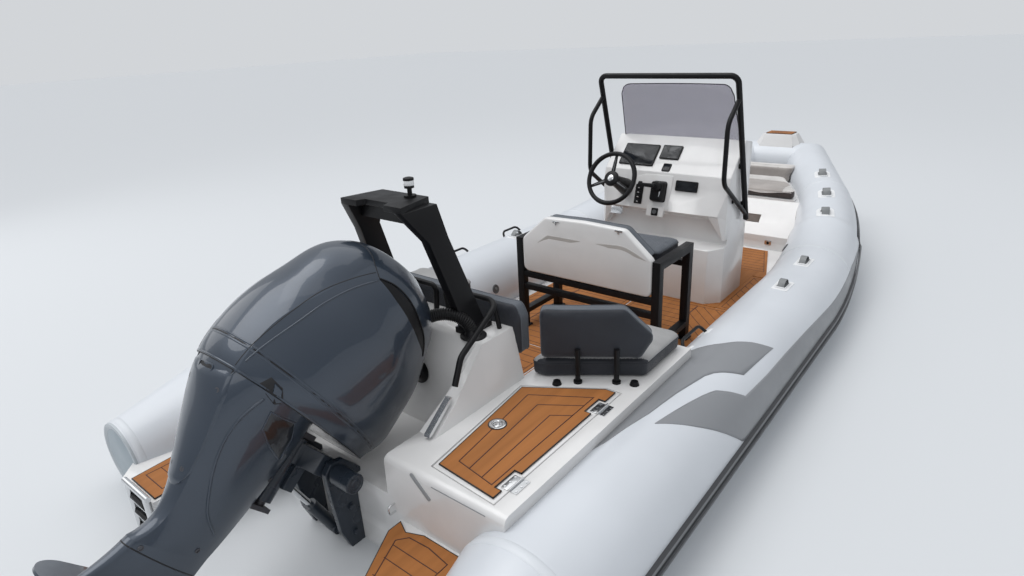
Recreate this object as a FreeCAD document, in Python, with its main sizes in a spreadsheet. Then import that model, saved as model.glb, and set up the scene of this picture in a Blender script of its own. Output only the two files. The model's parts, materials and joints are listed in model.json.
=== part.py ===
import FreeCAD, Part
import math
import os
import Sketcher

os.makedirs("parts", exist_ok=True)

# Rigid inflatable boat with a raised outboard motor, in millimetres.
# +X is starboard, +Y is forward, +Z is up. The origin is on the centreline,
# at the transom's outer face and at the waterline.

doc = FreeCAD.newDocument("rigid_inflatable_boat")
sheet = doc.addObject("Spreadsheet::Sheet", "sizes")

SIZES = {
    # inflatable tube: centreline places, radii and bends
    "tube_spacing": 941,
    "tube_height": 178,
    "tube_radius": 253,
    "tube_tail_y": -40,
    "tube_shoulder_y": 3086,
    "tube_cheek_x": 755,
    "tube_cheek_y": 4103,
    "tube_cheek_z": 392,
    "tube_corner_x": 265,
    "tube_corner_y": 5222,
    "tube_corner_z": 538,
    "tube_bow_radius": 190,
    "shoulder_bend": 550,
    "cheek_bend": 450,
    "tail_cone_length": 385,
    "tail_end_radius": 165,
    "tail_cap_thick": 8,
    # hull bottom
    "keel_depth": 270,
    "chine_half": 735,
    "chine_flat": 50,
    "hull_top": 85,
    "strake_depth": 22,
    "skin": 6,
    # cockpit sole
    "sole_top": 115,
    "sole_half": 800,
    "sole_bow_half": 560,
    "sole_taper": 2600,
    "panel_thick": 6,
    "panel_gap": 14,
    "panel_edge": 60,
    # stern moulding
    "stern_deck_top": 465,
    "stern_deck_half": 865,
    "deck_corner_in_y": 725,
    "deck_corner_out_y": 980,
    "seat_base_end": 1320,
    "aisle_half": 392,
    "well_floor": 262,
    "well_half": 335,
    "well_end": 430,
    "transom_top": 300,
    "box_top": 689,
    "box_half_top": 356,
    "box_half_foot": 412,
    "box_back": 505,
    "box_front": 700,
    "wall_thick": 62,
    "wall_tail_z": 440,
    "wall_tail_y": 130,
    "wall_mid_z": 535,
    "wall_mid_y": 298,
    "platform_top": 214,
    "platform_thick": 60,
    "platform_length": 500,
    "platform_inner": 372,
    "platform_flare": 100,
    "platform_half": 860,
    # stern lockers and lids
    "lid_in_aft_x": 505,
    "lid_in_aft_y": 60,
    "lid_in_fwd_x": 432,
    "lid_in_fwd_y": 640,
    "lid_out_margin": 70,
    "lid_out_aft_y": 36,
    "lid_out_fwd_y": 850,
    "lid_square": 60,
    "lid_thick": 22,
    "lid_gap": 5,
    "locker_depth": 240,
    "locker_margin": 34,
    "lid_teak_thick": 6,
    # aft seats
    "cushion_thick": 82,
    "rest_in_x": 468,
    "rest_in_y": 715,
    "rest_out_x": 866,
    "rest_out_y": 971,
    "rest_bottom": 557,
    "rest_height": 235,
    "rest_thick": 75,
    "rest_post_radius": 11,
    # arch
    "arch_foot_x": 232,
    "arch_foot_y": 600,
    "arch_foot_run": 112,
    "arch_knee_z": 1105,
    "arch_knee_x": 196,
    "arch_knee_y": 462,
    "arch_top_z": 1250,
    "arch_top_x": 150,
    "arch_top_y": 425,
    "arch_top_run": 178,
    "arch_plate": 24,
    "arch_leg_thick": 44,
    "light_post": 34,
    # helm seat
    "helm_x": 70,
    "helm_half": 462,
    "helm_back_y": 1672,
    "helm_front_y": 2075,
    "helm_post": 44,
    "helm_post_top": 694,
    "helm_seat_z": 628,
    "helm_cushion": 88,
    "shell_bottom": 492,
    "shell_top": 846,
    "shell_thick": 34,
    # console
    "console_x": 60,
    "console_half": 436,
    "console_aft": 2560,
    "console_corner": 82,
    "console_side_end": 2985,
    "console_front": 3290,
    "console_front_half": 300,
    "console_foot_top": 480,
    "console_recess": 120,
    "dash_low_z": 692,
    "dash_knee_z": 925,
    "dash_knee_y": 2662,
    "dash_top_z": 1124,
    "dash_top_y": 2872,
    "console_top_end": 3040,
    "console_wall": 12,
    "glass_thick": 6,
    "glass_foot_y": 2968,
    "glass_top_y": 2800,
    "glass_top_z": 1462,
    "glass_half": 372,
    "frame_tube": 17,
    "frame_half": 450,
    "frame_top_y": 2610,
    "frame_top_z": 1522,
    "frame_foot_y": 2905,
    "frame_foot_z": 622,
    # wheel
    "wheel_x": -201,
    "wheel_y": 2438,
    "wheel_z": 907,
    "wheel_radius": 162,
    "column_length": 215,
    "wheel_rim": 11,
    "wheel_tilt": 26,
    # bow
    "bow_seat_y": 4060,
    "bow_seat_end": 4930,
    "bow_seat_half": 560,
    "bow_seat_top": 462,
    "bow_lid_thick": 14,
    "bow_lid_aft_half": 500,
    "bow_lid_fwd_half": 280,
    "bow_cushion": 70,
    "bow_riser_y": 3850,
    "niche_half": 110,
    "bow_step_half": 178,
    "bow_step_base": 668,
    "bow_step_top": 806,
    # outboard, in its own upright frame from the tilt tube
    "tilt_y": -80,
    "tilt_z": 360,
    "tilt_raise": 50,
    "swivel_back": 120,
    "cowl_seam_rear": 238,
    "cowl_seam_front": 137,
    "cowl_foot_rear": 152,
    "cowl_foot_front": 82,
    "cowl_tray_rear": 170,
    "cowl_tray_front": 100,
    "cowl_wall": 9,
    "plate_drop": 560,
    "shaft_drop": 755,
    "skeg_drop": 975,
    "prop_radius": 185,
    "arm_inner": 104,
    "arm_thick": 28,
    "tilt_tube_end": 232,
    "ladder_tube": 12,
    "ladder_out_x": 655,
    "ladder_wide": 160,
    "ladder_drop": 230,
    "trim_pin_y": -46,
    "trim_pin_z": 22,
    "trim_eye_y": -68,
    "trim_eye_z": -110,
    "trim_barrel": 184,
}

for row, (word, value) in enumerate(SIZES.items(), start=1):
    sheet.set("A%d" % row, word)
    sheet.set("B%d" % row, str(value))
    sheet.setAlias("B%d" % row, word)
doc.recompute()

PARTS = {}


def size(word):
    return float(sheet.get(word))


def vec(x, y, z):
    return FreeCAD.Vector(x, y, z)


def keep(label, item):
    item.Label = label
    PARTS[label] = item
    return item


def bind(item, **places):
    for prop, text in places.items():
        item.setExpression(prop.replace("_", "."), text)


def origin_plane(body, role):
    return [plane for plane in body.Origin.OriginFeatures if plane.Role == role][0]


def outline(body, role, corners):
    # closed sketch of straight lines, each corner bound to two expressions
    sketch = body.newObject("Sketcher::SketchObject", body.Name + "_outline")
    sketch.AttachmentSupport = [(origin_plane(body, role), "")]
    sketch.MapMode = "FlatFace"
    count = len(corners)
    ring = []
    for index in range(count):
        turn = 2 * math.pi * index / count
        ring.append(vec(100 * math.cos(turn), 100 * math.sin(turn), 0))
    for index in range(count):
        sketch.addGeometry(Part.LineSegment(ring[index], ring[(index + 1) % count]), False)
    for index in range(count):
        sketch.addConstraint(Sketcher.Constraint("Coincident", index, 2, (index + 1) % count, 1))
    for index, (across, up) in enumerate(corners):
        for kind, start, text in (("DistanceX", ring[index].x, across), ("DistanceY", ring[index].y, up)):
            number = sketch.addConstraint(Sketcher.Constraint(kind, -1, 1, index, 1, start))
            sketch.setExpression("Constraints[%d]" % number, text)
    return sketch


def prism(name, role, corners, start, length):
    # pad of an outline, from start to start + length along the plane's axis
    body = doc.addObject("PartDesign::Body", name)
    sketch = outline(body, role, corners)
    doc.recompute()
    pad = body.newObject("PartDesign::Pad", name + "_pad")
    pad.Profile = sketch
    pad.setExpression("Length", length)
    if role == "XY_Plane":
        body.setExpression("Placement.Base.z", start)
    elif role == "YZ_Plane":
        body.setExpression("Placement.Base.x", start)
    else:
        body.setExpression("Placement.Base.y", "(%s) + (%s)" % (start, length))
    return body


def box(name, x, y, z, long, wide, tall):
    item = doc.addObject("Part::Box", name)
    for prop, text in (("Length", long), ("Width", wide), ("Height", tall)):
        item.setExpression(prop, text)
    for axis, text in (("x", x), ("y", y), ("z", z)):
        item.setExpression("Placement.Base." + axis, text)
    return item


def cylinder(name, x, y, z, radius, tall, axis=None, turn=0):
    item = doc.addObject("Part::Cylinder", name)
    item.setExpression("Radius", radius)
    item.setExpression("Height", tall)
    if axis is not None:
        item.Placement.Rotation = FreeCAD.Rotation(axis, turn)
    for letter, text in (("x", x), ("y", y), ("z", z)):
        item.setExpression("Placement.Base." + letter, text)
    return item


def solid(name, shape):
    item = doc.addObject("Part::Feature", name)
    item.Shape = shape
    return item


def cut(name, base, tool):
    item = doc.addObject("Part::Cut", name)
    item.Base = base
    item.Tool = tool
    return item


def group(name, pieces):
    item = doc.addObject("Part::Compound", name)
    item.Links = pieces
    return item


def together(name, pieces):
    item = doc.addObject("Part::MultiFuse", name)
    item.Shapes = pieces
    item.Refine = True
    return item


def mirrored(name, source):
    item = doc.addObject("Part::Mirroring", name)
    item.Source = source
    item.Normal = vec(1, 0, 0)
    item.Base = vec(0, 0, 0)
    return item


def ring_wire(points):
    return Part.makePolygon(points + [points[0]])


def rounded_path(points, bends):
    # straight runs joined by tangent arcs; bends give each corner's tangent length
    edges = []
    start = points[0]
    for before, corner, after, reach in zip(points, points[1:], points[2:], bends):
        back = (before - corner).normalize()
        ahead = (after - corner).normalize()
        entry = corner + back * reach
        leave = corner + ahead * reach
        half = back.getAngle(ahead) / 2
        bisector = (back + ahead).normalize()
        middle = corner + bisector * (reach / math.cos(half) - reach * math.tan(half))
        edges.append(Part.LineSegment(start, entry).toShape())
        edges.append(Part.Arc(entry, middle, leave).toShape())
        start = leave
    edges.append(Part.LineSegment(start, points[-1]).toShape())
    return edges


def rod(points, bends, radius):
    edges = rounded_path(points, bends)
    first = edges[0]
    tangent = first.tangentAt(first.FirstParameter)
    hoop = Part.Wire(Part.makeCircle(radius, points[0], tangent))
    return Part.Wire(edges).makePipeShell([hoop], True, False)


def hoop_at(edge, share, radius):
    place = edge.FirstParameter + (edge.LastParameter - edge.FirstParameter) * share
    return Part.Wire(Part.makeCircle(radius, edge.valueAt(place), edge.tangentAt(place)))


# Inflatable tube


def tube_points():
    return [
        vec(size("tube_spacing"), size("tube_tail_y"), size("tube_height")),
        vec(size("tube_spacing"), size("tube_shoulder_y"), size("tube_height")),
        vec(size("tube_cheek_x"), size("tube_cheek_y"), size("tube_cheek_z")),
        vec(size("tube_corner_x"), size("tube_corner_y"), size("tube_corner_z")),
    ]


def half_space(point, normal, reach=4000):
    # large block on the side of a plane that the normal points to
    block = Part.makeBox(reach, reach, reach, vec(-reach / 2, -reach / 2, 0))
    block.Placement = FreeCAD.Placement(point, FreeCAD.Rotation(vec(0, 0, 1), normal))
    return block


def make_tubes():
    tail, shoulder, cheek, corner = tube_points()
    wide = size("tube_radius")
    slim = size("tube_bow_radius")
    run, shoulder_arc, link, cheek_arc, nose = rounded_path(
        [tail, shoulder, cheek, corner], [size("shoulder_bend"), size("cheek_bend")])
    # stations: edge, share along it, radius
    taper = (wide - slim) / 5
    stations = [
        (run, 0.86, wide), (shoulder_arc, 0.0, wide), (shoulder_arc, 0.5, wide - taper),
        (link, 0.5, wide - 2.3 * taper), (cheek_arc, 0.5, wide - 3.8 * taper), (cheek_arc, 1.0, slim),
    ]
    curve = Part.makeLoft([hoop_at(*station) for station in stations], True, False)
    start = run.valueAt(run.FirstParameter + (run.LastParameter - run.FirstParameter) * 0.86)
    straight = Part.makeCylinder(wide, (start - tail).Length, tail, vec(0, 1, 0))
    cone = Part.makeCone(size("tail_end_radius"), wide, size("tail_cone_length"),
                         tail - vec(0, size("tail_cone_length"), 0), vec(0, 1, 0))
    ahead = (corner - cheek).normalize()
    begin = cheek_arc.valueAt(cheek_arc.LastParameter)
    front = Part.makeCylinder(slim, (corner - begin).Length + 2 * slim, begin, ahead)
    mitre = (ahead + vec(-1, 0, 0)).normalize()
    front = front.cut(half_space(corner, mitre))
    side = cone.fuse([straight, curve, front]).removeSplitter()
    cross = Part.makeCylinder(slim, 2 * (corner.x + 2 * slim), vec(-corner.x - 2 * slim, corner.y, corner.z),
                              vec(1, 0, 0))
    cross = cross.cut(half_space(corner, mitre * -1))
    cross = cross.cut(half_space(vec(-corner.x, corner.y, corner.z), vec(mitre.x, -mitre.y, -mitre.z)))
    return side, cross


side_tube, cross_tube = make_tubes()
tube_starboard = keep("tube_starboard", solid("tube_starboard", side_tube))
tube_port = keep("tube_port", mirrored("tube_port", tube_starboard))
tube_bow = keep("tube_bow", solid("tube_bow", cross_tube))

# Tube end caps: flat discs on the tail cones
cap_starboard = cylinder("cap_starboard", "sizes.tube_spacing", "sizes.tube_tail_y - sizes.tail_cone_length",
                         "sizes.tube_height", "sizes.tail_end_radius - 3", "sizes.tail_cap_thick", vec(1, 0, 0), 90)
end_caps = keep("tube_end_caps", group("tube_end_caps", [cap_starboard, mirrored("cap_port", cap_starboard)]))
all_tubes = group("all_tubes", [tube_starboard, tube_port, tube_bow, end_caps])


def make_rub_strakes():
    # flat ribbed strip along the outside of each tube, swept on the tube's own line
    tail, shoulder, cheek, corner = tube_points()
    wide = size("tube_radius")
    slim = size("tube_bow_radius")
    edges = rounded_path([tail, shoulder, cheek, corner], [size("shoulder_bend"), size("cheek_bend")])
    run, shoulder_arc, link, cheek_arc, nose = edges
    taper = (wide - slim) / 5
    stations = [
        (run, 0.0, wide), (shoulder_arc, 0.0, wide), (shoulder_arc, 0.5, wide - taper),
        (link, 0.5, wide - 2.3 * taper), (cheek_arc, 0.5, wide - 3.8 * taper), (cheek_arc, 1.0, slim),
        (nose, 0.72, slim),
    ]
    wires = []
    for edge, share, radius in stations:
        place = edge.FirstParameter + (edge.LastParameter - edge.FirstParameter) * share
        centre = edge.valueAt(place)
        out = edge.tangentAt(place).cross(vec(0, 0, 1)).normalize()
        wires.append(ring_wire([
            centre + out * (radius - 8) + vec(0, 0, 38), centre + out * (radius + 12) + vec(0, 0, 30),
            centre + out * (radius + 12) - vec(0, 0, 30), centre + out * (radius - 8) - vec(0, 0, 38),
        ]))
    return Part.makeLoft(wires, True, True)


strake_blank = solid("strake_blank", make_rub_strakes())
strake_starboard = cut("strake_starboard", strake_blank, tube_starboard)
keep("rub_strakes", group("rub_strakes", [strake_starboard, mirrored("strake_port", strake_starboard)]))


# Hull bottom: ruled sections from the transom to the stem


def hull_half_rings():
    # half sections of the bottom, keel to top edge
    keel = -size("keel_depth")
    chine = size("chine_half")
    top = size("hull_top")
    flat = size("chine_flat")
    # columns: place along the boat, keel height, chine half width, chine height, top height, top half width
    table = [
        (0, keel, chine, 0, top, 800),
        (2500, keel, chine, 4, top, 800),
        (3500, keel + 40, chine - 70, 70, top + 25, 740),
        (4200, keel + 190, chine - 230, 190, 235, 600),
        (4800, keel + 450, chine - 440, 330, 370, 400),
        (5130, keel + 690, 90, 440, 455, 150),
    ]
    halves = []
    for along, keel_z, chine_x, chine_z, top_z, top_x in table:
        strake_x = chine_x * 0.48
        strake_z = keel_z + (chine_z - keel_z) * 0.48
        step = size("strake_depth") * min(1, chine_x / chine)
        half = [
            (0, keel_z), (strake_x, strake_z), (strake_x + 2 * step, strake_z - step * 0.2),
            (strake_x + 2 * step, strake_z + step * 0.6), (chine_x - flat * 0.5, chine_z - step * 0.8),
            (chine_x + flat * 0.5, chine_z - step * 0.8), (top_x, top_z),
        ]
        halves.append((along, half))
    return halves


def make_hull():
    sections = []
    for along, half in hull_half_rings():
        ring = [vec(x, along, z) for x, z in half]
        ring += [vec(-x, along, z) for x, z in reversed(half[1:])]
        sections.append(ring_wire(ring))
    return Part.makeLoft(sections, True, True)


def make_water_side():
    # everything beneath the hull's skin, to trim what stands on the hull
    sections = []
    for along, half in hull_half_rings():
        far = half[-1][0] + 500
        deep = -size("keel_depth") - 200
        side = half + [(far, half[-1][1]), (far, deep)]
        ring = [vec(x, along, z) for x, z in side]
        ring += [vec(-x, along, z) for x, z in reversed(side[1:])]
        sections.append(ring_wire(ring))
    return Part.makeLoft(sections, True, True)


hull_blank = solid("hull_blank", make_hull())

# Cockpit sole between the tubes, let into the hull towards the bow
SOLE_PLAN = [
    ("-sizes.aisle_half", "sizes.box_front"), ("sizes.aisle_half", "sizes.box_front"),
    ("sizes.aisle_half", "sizes.seat_base_end"), ("sizes.sole_half", "sizes.seat_base_end"),
    ("sizes.sole_half", "sizes.sole_taper"), ("sizes.sole_bow_half", "sizes.bow_riser_y"),
    ("-sizes.sole_bow_half", "sizes.bow_riser_y"), ("-sizes.sole_half", "sizes.sole_taper"),
    ("-sizes.sole_half", "sizes.seat_base_end"), ("-sizes.aisle_half", "sizes.seat_base_end"),
]
sole_blank = prism("sole_blank", "XY_Plane", SOLE_PLAN, "sizes.hull_top", "sizes.sole_top - sizes.hull_top")
keep("cockpit_sole", cut("cockpit_sole", sole_blank, all_tubes))
sole_pocket = prism("sole_pocket", "XY_Plane", SOLE_PLAN, "sizes.hull_top", "400")
hull_open = cut("hull_open", hull_blank, sole_pocket)
keep("hull", cut("hull", hull_open, all_tubes))

# columns: name, start, end, half width at the start, half width at the end
PANELS = [
    ("aft", 760, 1490, 380, 628), ("middle", 1504, 2540, 628, 628), ("forward", 2554, 3200, 628, 628),
    ("bow", 3214, 3800, 600, 420),
]


def make_panels():
    low = size("sole_top")
    pieces = []
    console = Part.makeBox(2 * size("console_half") + 20, size("console_front") - size("console_aft") + 20, 60,
                           vec(size("console_x") - size("console_half") - 10, size("console_aft") - 10, low - 10))
    for name, start, end, half_start, half_end in PANELS:
        for side in (1, -1):
            gap = size("panel_gap") / 2 * side
            ring = [vec(gap, start, low), vec(side * half_start, start, low),
                    vec(side * half_end, end, low), vec(gap, end, low)]
            if name == "aft":
                knee = size("seat_base_end") + 12
                ring = [vec(gap, start, low), vec(side * half_start, start, low), vec(side * half_start, knee, low),
                        vec(side * half_end, knee, low), vec(side * half_end, end, low), vec(gap, end, low)]
            piece = Part.Face(ring_wire(ring)).extrude(vec(0, 0, size("panel_thick")))
            pieces.append(piece.cut(console))
    return Part.makeCompound([item for piece in pieces for item in piece.Solids])


keep("sole_panels", solid("sole_panels", make_panels()))


# Stern moulding: side decks, seat bases, motor well, box and swim platforms


def make_stern():
    floor = size("hull_top")
    deck = size("stern_deck_top")
    half = size("stern_deck_half")
    aisle = size("aisle_half")
    seat_end = size("seat_base_end")
    deck_plan = ring_wire([
        vec(-half, 0, floor), vec(half, 0, floor), vec(half, seat_end, floor), vec(aisle, seat_end, floor),
        vec(aisle, size("box_front"), floor), vec(-aisle, size("box_front"), floor),
        vec(-aisle, seat_end, floor), vec(-half, seat_end, floor),
    ])
    body = Part.Face(deck_plan).extrude(vec(0, 0, deck - floor))
    foot = size("box_half_foot")
    crown = size("box_half_top")
    # box and well walls: side profile, then a taper from foot to top by a loft
    tail = size("wall_tail_y")
    profile_low = ring_wire([
        vec(-foot, tail, deck - 40), vec(foot, tail, deck - 40), vec(foot, size("box_front"), deck - 40),
        vec(-foot, size("box_front"), deck - 40)])
    profile_high = ring_wire([
        vec(-crown, tail, size("box_top")), vec(crown, tail, size("box_top")),
        vec(crown, size("box_front"), size("box_top")), vec(-crown, size("box_front"), size("box_top"))])
    tower = Part.makeLoft([profile_low, profile_high], True, True)
    slope = Part.Face(ring_wire([
        vec(-600, -100, size("wall_tail_z")), vec(-600, tail, size("wall_tail_z")),
        vec(-600, size("wall_mid_y"), size("wall_mid_z")), vec(-600, size("box_back"), size("box_top")),
        vec(-600, size("box_back"), size("box_top") + 200), vec(-600, -100, size("box_top") + 200),
    ])).extrude(vec(1200, 0, 0))
    tower = tower.cut(slope)
    well_low = ring_wire([
        vec(-size("well_half") + 20, -50, size("well_floor")), vec(size("well_half") - 20, -50, size("well_floor")),
        vec(size("well_half") - 20, size("well_end"), size("well_floor")),
        vec(-size("well_half") + 20, size("well_end"), size("well_floor"))])
    well_high = ring_wire([
        vec(-size("well_half"), -50, 800), vec(size("well_half"), -50, 800),
        vec(size("well_half"), size("box_back") + 20, 800), vec(-size("well_half"), size("box_back") + 20, 800)])
    well = Part.makeLoft([well_low, well_high], True, True)
    body = body.fuse(tower).cut(well)
    # transom lip across the open end of the well
    lip = Part.makeBox(2 * size("well_half"), 52, size("transom_top") - size("well_floor") + 30,
                       vec(-size("well_half"), 0, size("well_floor") - 30))
    body = body.fuse(lip)
    # swim platforms, each flared away from the motor
    high = size("platform_top")
    thick = size("platform_thick")
    inner = size("platform_inner")
    flare = size("platform_flare")
    long = size("platform_length")
    for side in (1, -1):
        ring = ring_wire([
            vec(side * inner, 0, high - thick), vec(side * (inner + flare), -250, high - thick),
            vec(side * (inner + flare), -long, high - thick), vec(side * (size("platform_half") - 120), -long, high - thick),
            vec(side * size("platform_half"), -long + 120, high - thick), vec(side * size("platform_half"), 0, high - thick),
        ])
        body = body.fuse(Part.Face(ring).extrude(vec(0, 0, thick)))
        # locker under each lid
        locker = ring_wire(lid_ring(side, size("locker_margin"), deck - size("locker_depth")))
        body = body.cut(Part.Face(locker).extrude(vec(0, 0, size("locker_depth") + 10)))
        recess = ring_wire(lid_ring(side, -size("lid_gap"), deck - size("lid_thick")))
        body = body.cut(Part.Face(recess).extrude(vec(0, 0, size("lid_thick") + 20)))
    return body.removeSplitter()


def lid_out_x():
    return size("stern_deck_half") - size("lid_out_margin")


def lid_ring(side, inset, height):
    # outer front corner cut square, so that the lid clears the deck as it opens
    out = lid_out_x()
    slope = (size("lid_out_fwd_y") - size("lid_in_fwd_y")) / (out - size("lid_in_fwd_x"))
    square_y = size("lid_out_fwd_y") - slope * size("lid_square") - inset
    corners = [
        (size("lid_in_aft_x") + inset, size("lid_in_aft_y") + inset),
        (out - inset, size("lid_out_aft_y") + inset),
        (out - inset, square_y), (out - size("lid_square"), square_y),
        (size("lid_in_fwd_x") + inset, size("lid_in_fwd_y") - inset * 0.8),
    ]
    return [vec(side * x, y, height) for x, y in corners]


stern_blank = solid("stern_blank", make_stern())
keep("stern_moulding", cut("stern_moulding", stern_blank, all_tubes))


def make_platform_pads():
    high = size("platform_top")
    inner = size("platform_inner") + 14
    flared = inner + size("platform_flare")
    aft = -size("platform_length")
    out = size("tube_spacing") - size("tube_radius")
    pieces = []
    for side in (1, -1):
        ring = [
            vec(side * inner, aft * 0.14, high), vec(side * flared, aft * 0.524, high),
            vec(side * flared, aft + 16, high), vec(side * (out + 2), aft + 16, high),
            vec(side * (out + 28), aft * 0.18, high), vec(side * (out - 16), -14, high),
            vec(side * (inner + 120), -14, high), vec(side * (inner + 54), -40, high), vec(side * inner, -14, high),
        ]
        pieces.append(Part.Face(ring_wire(ring)).extrude(vec(0, 0, size("panel_thick"))))
    return Part.makeCompound(pieces)


keep("platform_pads", cut("platform_pads", solid("pads_blank", make_platform_pads()), all_tubes))

# Stern locker lids with planked tops


# middles of the two hinges along each lid
HINGE_PLACES = [144, 672]


def make_lid(side):
    deck = size("stern_deck_top")
    lid = Part.Face(ring_wire(lid_ring(side, 0, deck - size("lid_thick")))).extrude(vec(0, 0, size("lid_thick")))
    pad = Part.Face(ring_wire(lid_ring(side, 16, deck))).extrude(vec(0, 0, size("lid_teak_thick")))
    for along in HINGE_PLACES:
        notch = Part.makeBox(60, 104, 40, vec(lid_out_x() - 44, along - 52, deck - 10))
        if side < 0:
            notch = Part.makeBox(60, 104, 40, vec(-lid_out_x() - 16, along - 52, deck - 10))
        pad = pad.cut(notch)
    return lid, pad


def make_hinges():
    # knuckle and deck leaf of two hinges beside each lid
    pieces = []
    x = lid_out_x() + size("lid_gap")
    deck = size("stern_deck_top")
    for along in HINGE_PLACES:
        leaf = Part.makeBox(26, 74, 4, vec(x + 1, along - 37, deck))
        knuckle = Part.makeCylinder(4, 74, vec(x - 0.5, along - 37, deck + 7.5), vec(0, 1, 0))
        pieces.append(leaf.fuse(knuckle))
    return Part.makeCompound(pieces)


lid_shape, lid_pad_shape = make_lid(1)
lid_starboard = keep("stern_lid_starboard", solid("stern_lid_starboard", lid_shape))
keep("stern_lid_port", mirrored("stern_lid_port", lid_starboard))
lid_pad = keep("lid_pad_starboard", solid("lid_pad_starboard", lid_pad_shape))
keep("lid_pad_port", mirrored("lid_pad_port", lid_pad))
hinge_starboard = cut("hinge_starboard", solid("hinge_blank", make_hinges()), all_tubes)
bow_hinges = []
for number, across in enumerate((-240, -129, 80, 191)):
    bow_hinges.append(cylinder("bow_knuckle_%d" % number, str(across), "sizes.bow_seat_end - 333",
                               "sizes.bow_seat_top + 7.5", "7", "49", vec(0, 1, 0), 90))
keep("lid_hinges", group("lid_hinges", [hinge_starboard, mirrored("hinge_port", hinge_starboard)] + bow_hinges))


# Aft seating: side cushions, backrests and posts


def rest_frame():
    # ends of the line under the starboard backrest's rear face, and its unit vectors
    inner = vec(size("rest_in_x"), size("rest_in_y"), 0)
    outer = vec(size("rest_out_x"), size("rest_out_y"), 0)
    along = (outer - inner).normalize()
    back = vec(along.y, -along.x, 0)
    return inner, outer, along, back


def make_side_rest():
    inner, outer, along, back = rest_frame()
    low = size("rest_bottom")
    tall = size("rest_height")
    long = (outer - inner).Length
    # face outline: square inner end, outer end cut away above its lower half
    face = [(0, 0), (long - 12, 0), (long, 14), (long, tall - 130), (long - 66, tall - 42), (long - 126, tall), (0, tall)]
    ring = [inner + along * u + vec(0, 0, low + v) for u, v in face]
    return Part.Face(ring_wire(ring)).extrude(back * -size("rest_thick"))


rest_starboard = solid("rest_starboard", make_side_rest())
keep("side_backrests", group("side_backrests", [rest_starboard, mirrored("rest_port", rest_starboard)]))


def make_rest_posts():
    inner, outer, along, back = rest_frame()
    radius = size("rest_post_radius")
    low = size("stern_deck_top")
    pieces = []
    for share in (0.34, 0.67):
        foot = inner + along * ((outer - inner).Length * share) + back * (radius + 0.3)
        foot.z = low
        post = Part.makeCylinder(radius, size("rest_bottom") + 60 - low, foot)
        collar = Part.makeCylinder(radius + 7, 10, foot)
        pieces.append(post.fuse(collar))
    for share in (0.16, 0.82):
        spot = inner + along * ((outer - inner).Length * share) + back * 26
        spot.z = low
        pieces.append(Part.makeCone(20, 15, 16, spot))
    return Part.makeCompound(pieces)


posts_starboard = solid("posts_starboard", make_rest_posts())
keep("backrest_posts", group("backrest_posts", [posts_starboard, mirrored("posts_port", posts_starboard)]))

centre_rest = prism("backrest_centre", "XZ_Plane", [
    ("-402", "sizes.rest_bottom"), ("402", "sizes.rest_bottom"), ("402", "sizes.rest_bottom + 175"),
    ("372", "sizes.rest_bottom + sizes.rest_height"), ("-372", "sizes.rest_bottom + sizes.rest_height"),
    ("-402", "sizes.rest_bottom + 175"),
], "sizes.box_front", "sizes.rest_thick")
keep("backrest_centre", centre_rest)


def make_seat_cushion():
    inner, outer, along, back = rest_frame()
    low = size("stern_deck_top")
    start = inner - back * 12
    end = outer - back * 12
    edge = size("tube_spacing") - 106
    ring = [
        vec(size("aisle_half") + 4, start.y, low), vec(edge, end.y, low), vec(edge, size("seat_base_end") - 22, low),
        vec(edge - 36, size("seat_base_end"), low), vec(size("aisle_half") + 40, size("seat_base_end"), low),
        vec(size("aisle_half") + 4, size("seat_base_end") - 36, low),
    ]
    block = Part.Face(ring_wire(ring)).extrude(vec(0, 0, size("cushion_thick")))
    return block


seat_cushion = solid("seat_cushion", make_seat_cushion())
cushion_clear = cut("cushion_clear", seat_cushion, tube_starboard)
cushion_free = cut("cushion_free", cushion_clear, posts_starboard)
cushion_open = cut("cushion_open", cushion_free, rest_starboard)
keep("aft_seat_cushions", group("aft_seat_cushions", [cushion_open, mirrored("cushion_port", cushion_open)]))


# Arch with its top plate and all-round light


def make_arch():
    base = size("box_top")
    foot_x = size("arch_foot_x")
    thick = size("arch_leg_thick")
    # columns: height, middle across, aft edge, forward edge
    table = [
        (base, foot_x, size("arch_foot_y") - size("arch_foot_run") / 2, size("arch_foot_y") + size("arch_foot_run") / 2),
        (size("arch_knee_z"), size("arch_knee_x"), size("arch_knee_y") - 48, size("arch_knee_y") + 52),
        (size("arch_top_z") - size("arch_plate"), size("arch_top_x"),
         size("arch_top_y") - size("arch_top_run") / 2, size("arch_top_y") + size("arch_top_run") / 2),
    ]
    pieces = []
    for side in (1, -1):
        rings = []
        for height, across, aft, fore in table:
            rings.append(ring_wire([
                vec(side * (across - thick / 2), aft, height), vec(side * (across + thick / 2), aft, height),
                vec(side * (across + thick / 2), fore, height), vec(side * (across - thick / 2), fore, height)]))
        pieces.append(Part.makeLoft(rings, True, True))
        shoe = Part.makeBox(thick + 36, size("arch_foot_run") + 24, 26,
                            vec(side * foot_x - (thick + 36) / 2, table[0][2] - 12, base))
        pieces.append(shoe)
    top = size("arch_top_z") - size("arch_plate")
    wide = size("arch_top_x") + thick / 2
    aft = table[2][2]
    fore = table[2][3]
    plate = Part.Face(ring_wire([
        vec(-wide, aft, top), vec(-wide * 0.45, aft, top), vec(-wide * 0.38, aft + 34, top),
        vec(wide * 0.38, aft + 34, top), vec(wide * 0.45, aft, top), vec(wide, aft, top),
        vec(wide - 40, fore, top), vec(-wide + 40, fore, top),
    ])).extrude(vec(0, 0, size("arch_plate")))
    bar = Part.makeBox(2 * size("arch_top_x"), 34, 62, vec(-size("arch_top_x"), size("arch_top_y") - 17, top - 62))
    return pieces[0].fuse(pieces[1:] + [plate, bar]).removeSplitter()


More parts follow.
